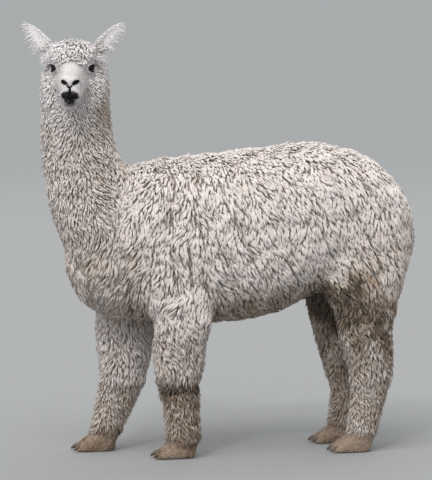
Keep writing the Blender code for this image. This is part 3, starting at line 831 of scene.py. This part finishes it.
def parting_shade(r):
    """How near each point of the skin is to the middle of an open parting, which sets its painted shade.
    """
    here, opening = partings(r.b)
    steepest = sum(slope_along(r.b, way, here) ** 2 for way in np.eye(3))
    return hill(here / np.sqrt(steepest + PARTING_STEEP**2), CLEFT_HALF) * opening * openness(r)


def parted(r, beside):
    """(how far each point moves aside to leave the partings open, how near it is to one)."""
    here, opening = partings(r.b)
    slope = slope_along(r.b, beside, here)
    distance = here / np.sqrt(slope**2 + PARTING_STEEP**2)
    near = hill(distance, PARTING_HALF) * (opening * openness(r))
    return np.sign(here * slope) * PARTING_GAP * near, near


# ---------- the coat's locks

BARE = 0.70  # no lock grows where the share of dark bare skin is above this
RUN = 1.35  # how a strand's run along the skin grows with the share of its length
# Locks at the wool's edge against the face.
EDGE = {"length": 0.010, "width": 0.0026, "spacing": 0.0050, "curl": 0.0006}


class Hide:
    """The skin as the coat reads it."""

    def __init__(self, mesh):
        self.points, self.triangles = points_of(mesh), triangles_of(mesh)
        edges = edges_of(mesh)
        self.normals = unit(relaxed(normals_of(mesh), edges, 3))
        r = Regions(self.points, self.normals)
        self.lie = flattened(relaxed(lie_of(r), edges, 4), self.normals)
        self.face_normals = unit(self.normals[self.triangles].sum(axis=1))
        self.face_lie = flattened(self.lie[self.triangles].sum(axis=1), self.face_normals)
        self.fields = {name: r.coat(name) for name in MEASURES}
        self.fields["length"] += 0.008 * r.breast()
        x, y, z = r.q.T
        curls = ramp(-0.004, 0.008, z) * ramp(0.062, 0.050, np.abs(x)) * (y < 0.05)
        edge = ramp(0.028, 0.0, r.reach) * r.head * (1 - r.face) * (1 - r.ear) * (1 - curls)
        for name, least in EDGE.items():
            self.fields[name] = mix(self.fields[name], least, edge)
        clear = 0.004 + 0.9 * np.maximum(from_eye(self.points) - 0.017, 0)
        self.fields["length"] = np.minimum(self.fields["length"], clear)
        self.bare = dark_skin(self.points) * r.face
        self.tree = tree_of(mesh)

    def areas(self):
        a, b, c = (self.points[self.triangles[:, k]] for k in range(3))
        return np.linalg.norm(np.cross(b - a, c - a), axis=1) / 2

    def scattered(self):
        """Triangles and shares of points scattered over the skin, as far apart as the locks are."""
        gap = self.fields["spacing"][self.triangles].mean(axis=1)
        density = np.where(self.bare[self.triangles].mean(axis=1) < BARE, self.areas() / gap**2, 0)
        tries = int(density.sum() * 5)
        chosen = RANDOM.choice(len(self.triangles), tries, p=density / density.sum())
        u, v = RANDOM.random(tries), RANDOM.random(tries)
        over = u + v > 1
        u[over], v[over] = 1 - u[over], 1 - v[over]
        shares = np.stack([1 - u - v, u, v], axis=1)
        places = np.einsum("ij,ijk->ik", shares, self.points[self.triangles[chosen]])
        kept = spaced(places, gap[chosen] * 0.80)
        return self.triangles[chosen[kept]], shares[kept], places[kept]

    def combed(self, locks, steps):
        """Places on the skin at steps along each lock, with the normal and the lie at each."""
        place, normal, lie = locks.root, locks.normal, locks.lie
        found = [(place, normal, lie)]
        for before, after in zip(steps, steps[1:]):
            ahead = place + lie * (locks.length * (after**RUN - before**RUN))[:, None]
            near = [self.tree.find_nearest(Vector(spot)) for spot in ahead]
            place = np.array([hit[0] for hit in near])
            face = np.array([hit[2] for hit in near])
            normal = self.face_normals[face]
            lie = unit(lie + 1.5 * turned(self.face_lie[face], normal, locks.sway))
            lie = flattened(lie, normal)
            found.append((place, normal, lie))
        return [np.stack(part, axis=1) for part in zip(*found)]


def spaced(places, radius):
    """Indices of points, taken in turn, that are no nearer to each other than their radius."""
    grid, kept = {}, []
    steps = [(i, j, k) for i in (-1, 0, 1) for j in (-1, 0, 1) for k in (-1, 0, 1)]
    keys = np.floor(places / float(radius.max())).astype(int)
    rows = zip(keys.tolist(), places.tolist(), (radius**2).tolist())
    for index, ((a, b, c), (x, y, z), reach) in enumerate(rows):
        near = (spot for i, j, k in steps for spot in grid.get((a + i, b + j, c + k), ()))
        if not any((x - u) ** 2 + (y - v) ** 2 + (z - w) ** 2 < reach for u, v, w in near):
            grid.setdefault((a, b, c), []).append((x, y, z))
            kept.append(index)
    return np.array(kept)


def to_envelope(places, normals, shell, depth):
    """Distance from the skin out to the tips of the coat."""
    found = np.array(depth)
    for i, (place, normal) in enumerate(zip(places, normals)):
        hit = shell.ray_cast(Vector(place), Vector(normal), 0.06)
        if hit[0] is not None:
            found[i] = hit[3]
    return np.clip(found, 0.4 * depth, 1.8 * depth + 0.002)


class Locks:
    """Locks of the coat: where each is rooted, how it lies and how big it is."""

    def __init__(self, **arrays):
        self.__dict__.update(arrays)

    def __len__(self):
        return len(self.root)

    def where(self, mask):
        return Locks(**{name: values[mask] for name, values in self.__dict__.items()})


def locks_on(hide, shell):
    """The locks that cover the skin."""
    triangles, shares, places = hide.scattered()
    count = len(places)

    def at(values):
        return np.einsum("ij,ij...->i...", shares, values[triangles])

    def varied(values, low, high):
        return values * RANDOM.uniform(low, high, count)

    normal, lie = unit(at(hide.normals)), unit(at(hide.lie))
    r = Regions(places, normal)
    x, y, z = r.q.T
    fields = {name: at(values) for name, values in hide.fields.items()}
    height = to_envelope(places, normal, shell, fields["depth"])
    sway = 0.30 * waves(r.b, 0.10, 7) + RANDOM.normal(0, 0.15, count)
    sway = sway * (1 - 0.7 * np.maximum(r.face, r.ear))
    height *= 1 + 0.45 * waves(r.b, 0.050, 8) * np.maximum(r.back, 0.5 * (1 - r.head) * (1 - r.shin))
    proud = 1.0 + 0.6 * np.maximum(r.neck, 0.4) * (1 - r.face)
    height *= np.where(RANDOM.random(count) < 0.10, proud, 1.0)
    jaw = hill(np.abs(x) - 0.050, 0.014) * hill(z + 0.092, 0.022) * ramp(0.0, -0.04, y)
    flare = 0.0012 + 0.0068 * r.leg + 0.0024 * r.neck + 0.0008 * r.head
    flare = flare + 0.004 * r.belly + 0.005 * r.breast() + 0.016 * jaw
    front = r.front()
    return Locks(
        root=places, normal=normal, lie=turned(lie, normal, sway), sway=sway, height=height,
        length=varied(fields["length"], 0.75, 1.25), curl=fields["curl"],
        width=varied(fields["width"], 0.8, 1.2), shade=RANDOM.random(count),
        soil=varied(soil(places, normal), 0.65, 1.25), dark=dark_skin(places) * r.face,
        face=r.face, ear=r.ear, neck=r.neck,
        flare=flare * (1 - r.foot) * (1 - r.face) * (1 - r.ear),
        clean=0.62 * front + 0.6 * r.ear + 0.7 * jaw - 0.5 * r.face,
        white=np.maximum.reduce([0.55 * r.face, r.ear, 0.80 * front, np.minimum(1.2 * jaw, 1)]),
    )


# ---------- the strands of the locks

SIDES = 3
THIN = 0.62  # a strand's thickness as a share of its width
GROUND_GAP = 0.0006  # the least height of the coat above the floor


def strand_paths(locks, hide, count, steps, spread, gather):
    """Points along each of a lock's strands, and the frame of its cross-section."""
    lock = np.repeat(np.arange(len(locks)), count)
    size = len(lock)

    def varied(values, low, high):
        return (values[lock] * RANDOM.uniform(low, high, size))[:, None]

    angle = np.tile(np.arange(count) / count * 2 * pi, len(locks))
    angle = angle + RANDOM.uniform(0, 2 * pi, len(locks))[lock] + RANDOM.normal(0, 0.3, size)
    reach = locks.width[lock] * spread * (RANDOM.uniform(0.6, 1.1, size) if count > 1 else 0)
    place, normal, lie = (part[lock] for part in hide.combed(locks, steps))
    beside = np.cross(normal, lie)
    s = np.array(steps)[None, :]
    rise = np.sin(np.minimum(s * 1.5, 1.2) * pi / 2) * (1 - 0.14 * s**3)
    lift = varied(locks.height, 0.84, 1.06) * rise
    phase = (locks.shade[lock] * 40 + RANDOM.normal(0, 0.6, size))[:, None]
    curl = varied(locks.curl, 0.5, 1.5) * s
    stretch = varied(locks.length, -0.12, 0.12) * s
    near = 1 - gather * s
    lift = lift + varied(locks.flare, 0.3, 1.5) * s**2
    up = lift + np.cos(phase + s * 6.5) * curl * 0.6 - 0.001 * (s == 0)
    across = np.sin(phase + s * 6.5) * curl + (np.cos(angle) * reach)[:, None] * near
    points = place + normal * up[..., None] + beside * across[..., None]
    points += lie * ((np.sin(angle) * reach)[:, None] * near + stretch)[..., None]
    r = Regions(points.reshape(-1, 3), normal.reshape(-1, 3))
    aside, near = (part.reshape(up.shape) for part in parted(r, beside.reshape(-1, 3)))
    depth = (0.75 * locks.height[lock])[:, None] * near
    points = points + beside * aside[..., None] - normal * depth[..., None]
    return lock, points, normal, beside, near


def strand_mesh(name, points, normal, beside, radius, thin, steps):
    """(three-sided strands that taper to a point, points to a strand, the points of its faces)."""
    count, rings = points.shape[0], points.shape[1] - 1
    taper = np.array(steps[:-1])
    width = radius[:, None] * ((1.0 + 0.45 * np.sin(taper * pi)) * (1 - 0.72 * taper**1.6))[None, :]
    roll = RANDOM.uniform(-0.5, 0.5, count)[:, None]
    corners = []
    for k in range(SIDES):
        angle = 2 * pi * k / SIDES + pi / 2 + roll
        across = (np.cos(angle) * width)[..., None] * beside[:, :-1]
        deep = (np.sin(angle) * width * thin)[..., None] * normal[:, :-1]
        corners.append(points[:, :-1] + across + deep)
    body = np.stack(corners, axis=2).reshape(count, rings * SIDES, 3)
    verts = np.concatenate([body, points[:, -1:]], axis=1)
    verts[..., 2] = np.maximum(verts[..., 2], BODY_AT.z + GROUND_GAP)
    each = rings * SIDES + 1
    turns = [(k, (k + 1) % SIDES) for k in range(SIDES)]
    starts = range(0, each - 1, SIDES)
    quads = [(a + k, a + m, b + m, b + k) for a, b in zip(starts, starts[1:]) for k, m in turns]
    fans = [(starts[-1] + k, starts[-1] + m, each - 1) for k, m in turns] + [(2, 1, 0)]
    first = np.arange(count)[:, None, None] * each
    loops = np.concatenate([(np.array([faces]) + first).ravel() for faces in (quads, fans)])
    sizes = np.repeat([4, 3], [count * len(quads), count * len(fans)])
    mesh = bpy.data.meshes.new(name)
    mesh.vertices.add(count * each)
    mesh.vertices.foreach_set("co", verts.astype(np.float32).ravel())
    mesh.loops.add(len(loops))
    mesh.loops.foreach_set("vertex_index", loops.astype(np.int32))
    mesh.polygons.add(len(sizes))
    mesh.polygons.foreach_set("loop_start", (np.cumsum(sizes) - sizes).astype(np.int32))
    mesh.update(calc_edges=True)
    mesh.shade_smooth()
    return mesh, each, loops


def unwrap_round(axis, points):
    """An unwrap of a rounded part: the angle about its long axis and the place along it."""
    axis = Vector(axis).normalized()
    one = np.array(axis.orthogonal().normalized())
    axis, centre = np.array(axis), points.mean(axis=0)
    other = np.cross(axis, one)
    along = (points - centre) @ axis
    low, high = along.min(), along.max()

    def unwrap(places):
        offset = places - centre
        angle = np.arctan2(offset @ other, offset @ one) / (2 * pi) + 0.5
        along = (offset @ axis - low) / (high - low)
        return 0.004 + 0.992 * np.clip(np.stack([angle, along], axis=1), 0, 1)

    return unwrap


def fielded(made, steps, root, unwrap, **fields):
    """Gives every strand its fields and its patch on the OFBake map."""
    mesh, each, loops = made
    count = len(mesh.vertices) // each
    along = np.tile(np.append(np.repeat(steps[:-1], SIDES), 1.0), count)
    put_field(mesh, "along", along)
    for name, values in fields.items():
        put_field(mesh, name, np.repeat(values, each))
    corner = np.tile(np.append(np.tile(np.arange(SIDES) / (SIDES - 1), len(steps) - 1), 0.5), count)
    uv = np.repeat(unwrap(root), each, axis=0) + PATCH * (np.stack([corner, along], axis=1) - 0.5)
    layer = mesh.uv_layers.new(name="OFBake")
    layer.data.foreach_set("uv", np.clip(uv, 0, 1)[loops].astype(np.float32).ravel())
    return mesh


def coat_piece(name, locks, hide, count, steps, axis, spread, gather, thickness):
    """One piece of the coat, made from some of the locks."""
    lock, points, normal, beside, parting = strand_paths(locks, hide, count, steps, spread, gather)
    radius = locks.width[lock] * thickness * RANDOM.uniform(0.75, 1.25, len(lock))
    made = strand_mesh(name, points, normal, beside, radius, THIN, steps)
    shade = locks.shade[lock] * 0.6 + 0.4 * RANDOM.random(len(lock)) + locks.clean[lock]
    # Strands beside a parting get a lower shade value: painted shade in the parting.
    shade = np.clip(0.08 + shade - 1.2 * parting.mean(axis=1), 0, 1)
    fields = {"soil": locks.soil[lock], "dark": locks.dark[lock], "short": locks.white[lock]}
    return fielded(made, steps, points[:, 0], unwrap_round(axis, locks.root), shade=shade, **fields)


LONG, SHORT = (0.0, 0.40, 0.74, 1.0), (0.0, 0.55, 1.0)
UPRIGHT, LENGTHWISE, EARWISE = (0, 0, 1), (0, 1, 0), (1, 0, 0.6)
# Each kind of piece: strands a lock, steps, long axis, spread, gather at the tips, thickness.
KINDS = {
    "ear": (2, SHORT, EARWISE, 0.6, 0.3, 0.60),
    "face": (1, SHORT, UPRIGHT, 0, 0, 0.60),
    "head": (3, LONG, UPRIGHT, 0.55, 0.75, 0.56),
    "neck": (3, LONG, UPRIGHT, 0.55, 0.80, 0.52),
    "trunk": (4, LONG, LENGTHWISE, 0.80, 0.65, 0.52),
    "leg": (4, LONG, UPRIGHT, 0.80, 0.65, 0.48),
    "shin": (2, LONG, UPRIGHT, 0.6, 0.60, 0.54),
    "foot": (1, SHORT, UPRIGHT, 0, 0, 0.60),
}


def coat_parts(locks):
    """Each piece of the coat: (name, its locks, its kind)."""
    x, y, z = in_body(locks.root).T
    fore = y < MIDWAY
    ear = locks.ear > 0.5
    face = (locks.face > 0.5) & ~ear
    head = (z > 1.10) & ~ear & ~face
    foot = (z < FETLOCK) & ~head
    leg = np.where(fore, z < ELBOW, (z < STIFLE) & (y > 0.44)) & ~foot
    shin = leg & np.where(fore, z < np.where(x > 0, CUFF - 0.004, KNEE), z < HOCK)
    leg &= ~shin
    neck = (locks.neck > 0.5) & ~head & ~face & ~ear
    trunk = ~(ear | face | head | foot | leg | shin | neck)
    halves = (("left", x > 0), ("right", x <= 0))
    bands = (("shoulder", y < 0.06), ("barrel", (y >= 0.06) & (y < 0.38)), ("rump", y >= 0.38))
    ends = (("", leg, "leg"), ("_shin", shin, "shin"), ("_foot", foot, "foot"))
    parts = [("ears", ear, "ear"), ("face", face, "face"), ("head", head, "head")]
    parts += [(f"neck_{side}", neck & half, "neck") for side, half in halves]
    for side, half in halves:
        parts += [(f"{band}_{side}", trunk & half & inside, "trunk") for band, inside in bands]
        for limb, inside in (("foreleg", fore), ("hindleg", ~fore)):
            parts += [(f"{limb}_{side}{end}", mask & half & inside, kind) for end, mask, kind in ends]
    return parts


def build_coat(hide, shell, fleece):
    locks = locks_on(hide, tree_of(shell))
    for name, mask, kind in coat_parts(locks):
        mesh = coat_piece("coat_" + name, locks.where(mask), hide, *KINDS[kind])
        shown(mesh, fleece)
    shown(ear_wisps(hide), fleece)
    shown(crown_wisps(hide), fleece)
    shown(lashes(), lash_material())


# ---------- long single hairs

WISPY = (0.0, 0.22, 0.46, 0.72, 1.0)
FRINGE, CLAWS, CROWN = 1.4e5, 2.0e5, 1.2e4  # hairs to a square metre
LASHES, LASH_RADIUS = 16, 0.00035  # on each upper lid


def wisp_piece(name, root, start, end, length, radius, shade, axis):
    """Thin free hairs that leave their roots one way and turn another way by their tips."""
    s = np.array(WISPY)[None, :, None]
    start, end = (unit(way @ HEAD_AXES)[:, None] for way in (start, end))
    points = root[:, None] + length[:, None, None] * (start * s + (end - start) * s**2 / 2)
    ahead = unit(mix(start, end, s))
    beside = unit(np.cross(ahead, np.array(UP) + RANDOM.normal(0, 0.2, (len(root), 1, 3))))
    made = strand_mesh(name, points, np.cross(ahead, beside), beside, radius, 1.0, WISPY)
    none = np.zeros(len(root))
    unwrap = unwrap_round(axis, root)
    return fielded(made, WISPY, root, unwrap, shade=shade, soil=none, dark=none, short=none + 1)


def picked(hide, chance):
    """Indices of skin points drawn with a chance that grows with the area round each."""
    area = np.zeros(len(hide.points))
    np.add.at(area, hide.triangles, (hide.areas() / 3)[:, None])
    return np.nonzero(RANDOM.random(len(area)) < area * chance)[0]


def drawn(count, *ranges):
    return (RANDOM.uniform(low, high, count) for low, high in ranges)


def ear_wisps(hide):
    """The fringe that hangs from the ears' lower edges, and the claw-like curls at their tips."""
    q, n = in_head(hide.points), hide.normals @ HEAD_AXES.T
    side = np.sign(q[:, 0])
    share, away = ear_share(q)
    along = unit(EAR_TIP - EAR_ROOT)
    across = unit(np.cross([0, 1, 0], along))
    lower = n[:, 0] * side * across[0] + n[:, 2] * across[2]
    on_ear = (away < 0.045) & (q[:, 2] > 0.012)
    fringe = on_ear * ramp(0.50, 0.85, lower) * ramp(-0.22, 0.05, share)
    fringe = fringe * (1 + ramp(0.5, 0.1, share)) * ramp(1.0, 0.9, share) * FRINGE
    root = picked(hide, fringe + on_ear * ramp(0.86, 0.95, share) * CLAWS)
    t, count = np.clip(share[root], 0, 1)[:, None], len(root)
    fall = mix(np.array([[0.45, 0.0, -1.0]]), np.array([[0.75, 0.0, -0.75]]), t)
    start = along * 0.75 + across * 0.55 + RANDOM.normal(0, 0.24, (count, 3))
    end = fall + RANDOM.normal(0, 0.45, (count, 3))
    at_tip = ramp(0.88, 0.96, t)
    end = mix(end, along * 0.2 + across * RANDOM.uniform(-0.3, 1.8, (count, 1)), at_tip)
    start = mix(start, along + across * RANDOM.uniform(-0.5, 0.5, (count, 1)), at_tip)
    for way in (start, end):
        way[:, 0] *= side[root]
    stretch, radius, shade = drawn(count, (0.35, 1.45), (0.0006, 0.0011), (0.6, 1))
    length = mix(0.042, 0.026, t[:, 0]) * stretch
    return wisp_piece("coat_ear_fringe", hide.points[root], start, end, length, radius, shade, EARWISE)


def crown_wisps(hide):
    """Loose hairs that stand up out of the topknot."""
    x, y, z = in_head(hide.points).T
    top = ramp(0.060, 0.075, z) * ramp(0.055, 0.040, np.abs(x)) * (y < 0.09)
    root = picked(hide, top * CROWN)
    count = len(root)
    aside = x[root, None] * [1, 0, 0]
    start = aside * 6 + [0, 0, 1] + RANDOM.normal(0, 0.25, (count, 3))
    end = aside * 20 + [0, -1, 0.3] + RANDOM.normal(0, 0.5, (count, 3))
    length, radius, shade = drawn(count, (0.016, 0.032), (0.0006, 0.0010), (0.6, 1))
    return wisp_piece("coat_crown_wisps", hide.points[root], start, end, length, radius, shade, UPRIGHT)


def lashes():
    """Dark lashes along the upper lids, from their outer corners inwards."""
    roots, starts, ends = [], [], []
    for side in EYE:
        for t in np.linspace(-0.95, 0.45, LASHES):
            forward = t * EYE_OPEN[0] + EYE_FORWARD + RANDOM.normal(0, 0.02)
            up = EYE_OPEN[1] * sqrt(1 - t * t) * 1.02 + 0.06 * t * EYE_OPEN[0]
            way, root = on_lid(side, forward, up)
            roots.append(root)
            starts.append(way + [side * 0.2, 0, -0.35])
            ends.append(way + [side * 0.5, 0.3, 0.2 + RANDOM.normal(0, 0.1)])
    root, start, end = (np.array(found) for found in (roots, starts, ends))
    length = RANDOM.uniform(0.008, 0.012, len(root))
    radius, shade = np.full(len(root), LASH_RADIUS), np.zeros(len(root))
    return wisp_piece("coat_lashes", root, start, end, length, radius, shade, LENGTHWISE)


# ---------- stage

PHOTO_TURN = radians(14.0)  # of the view from straight at the left side, towards the front
PHOTO_FAR, PHOTO_HEIGHT, PHOTO_ASIDE = 8.5, 1.25, 0.1301
PHOTO_DOWN = radians(3.824)
LENS, SENSOR = 200.85, 36.0
BACKDROP, OVERHEAD = (0.40, 0.412, 0.42), (0.84, 0.86, 0.88)
FLOOR_RADIUS, FLOOR_FADE = 400, (9, 26)  # the floor turns into the backdrop between these distances
# Soft lights: degrees from the row's front and above the floor, strength, apparent size, colour.
SUNS = {
    "key": (62, 54, 1.58, 45, (1.0, 0.985, 0.965)),
    "fill": (30, 28, 0.50, 70, (1.0, 0.99, 0.98)),
    "back": (235, 40, 0.55, 60, (0.97, 0.98, 1.0)),
    "glint": (60, 40, 0.50, 5, WHITE),
}


def add_camera():
    data = bpy.data.cameras.new("camera")
    camera = placed("camera", data)
    ahead = Vector((-cos(PHOTO_TURN), sin(PHOTO_TURN), 0))
    right = Vector((sin(PHOTO_TURN), cos(PHOTO_TURN), 0))
    camera.location = BODY_AT - ahead * PHOTO_FAR + right * PHOTO_ASIDE + UP * PHOTO_HEIGHT
    look = ahead * cos(PHOTO_DOWN) - UP * sin(PHOTO_DOWN)
    camera.rotation_euler = look.to_track_quat("-Z", "Y").to_euler()
    data.sensor_fit = "AUTO"
    data.sensor_width = SENSOR
    data.lens = LENS
    data.clip_end = 100
    bpy.context.scene.camera = camera


def add_sun(name, azimuth, height, strength, angle, colour):
    data = bpy.data.lights.new(name, "SUN")
    data.energy, data.angle, data.color = strength, radians(angle), colour
    turn, up = radians(azimuth), radians(height)
    way = Vector((sin(turn) * cos(up), -cos(turn) * cos(up), sin(up)))
    placed(name, data).rotation_euler = way.to_track_quat("Z", "Y").to_euler()


def floor_material():
    """A pale floor that fades into the backdrop far away."""
    s = shader("floor", 0.95, 0.1)
    s.paint(s.blended(s.noise(1.5, 2.0), (0.302, 0.307, 0.307), (0.316, 0.321, 0.321)))
    glow = s.node("Emission", {"Color": BACKDROP, "Strength": 1.0})[0]
    far = s.vector("LENGTH", s.where())["Value"]
    sockets = {"Value": far, "From Min": FLOOR_FADE[0], "From Max": FLOOR_FADE[1]}
    fade = s.node("MapRange", sockets, interpolation_type="SMOOTHSTEP")["Result"]
    both = s.node("MixShader", {0: fade, 1: s.surface.outputs[0], 2: glow})[0]
    s.fill(s.tree.nodes["Material Output"], {"Surface": both})
    return s.owner


def add_sky():
    """A pale backdrop at eye level that brightens overhead."""
    s = Shader(bpy.data.worlds.new("studio"))
    height = s.node("SeparateXYZ", {0: s.node("TexCoord", {})["Generated"]})["Z"]
    s.fill(s.surface, {"Color": s.ramp(height, (0.12, BACKDROP), (0.85, OVERHEAD))})
    bpy.context.scene.world = s.owner


def add_stage():
    bpy.ops.mesh.primitive_circle_add(vertices=96, radius=FLOOR_RADIUS, fill_type="NGON")
    floor = bpy.context.object
    floor.name = "floor"
    floor.data.materials.append(floor_material())
    add_sky()
    for name, numbers in SUNS.items():
        add_sun(name, *numbers)
    bpy.context.scene.view_settings.view_transform = "Standard"


# ---------- all of it


def finish_node(name, look):
    """Gives a node that shows as it is its own look, and returns its mesh."""
    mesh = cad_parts[name].data
    mesh.materials.clear()
    mesh.materials.append(look)
    mesh.shade_smooth()
    return mesh


def build():
    shell = flesh_shell()
    skin = sculpt_face(thinned(sink(shell.copy())))
    skin.name = "skin"
    points, normals = points_of(skin), normals_of(skin)
    r = Regions(points, normals)
    put_field(skin, "wool", 1 - np.maximum.reduce([r.face, r.ear, 0.85 * r.front()]))
    put_field(skin, "dark", dark_skin(points) * r.face)
    put_field(skin, "soil", soil(points, normals))
    put_field(skin, "parting_shade", parting_shade(r))
    skin.shade_smooth()
    body = shown(skin, skin_material())
    flesh = [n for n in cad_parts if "nail" not in n and "eye" not in n]
    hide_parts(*flesh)
    build_coat(Hide(skin), shell, fleece_material())
    for side, name in ((1, "eye_left"), (-1, "eye_right")):
        gaze = Vector(on_lid(side, EYE_FORWARD, 0)[0] @ HEAD_AXES)
        eye = finish_node(name, eye_material(name, EYE[side], gaze))
        away = unit(points_of(eye) - np.array(EYE[side]))
        eye.normals_split_custom_set_from_vertices(away.tolist())
    horn = horn_material()
    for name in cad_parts:
        if "nail" in name:
            finish_node(name, horn)


add_camera()
add_stage()
build()
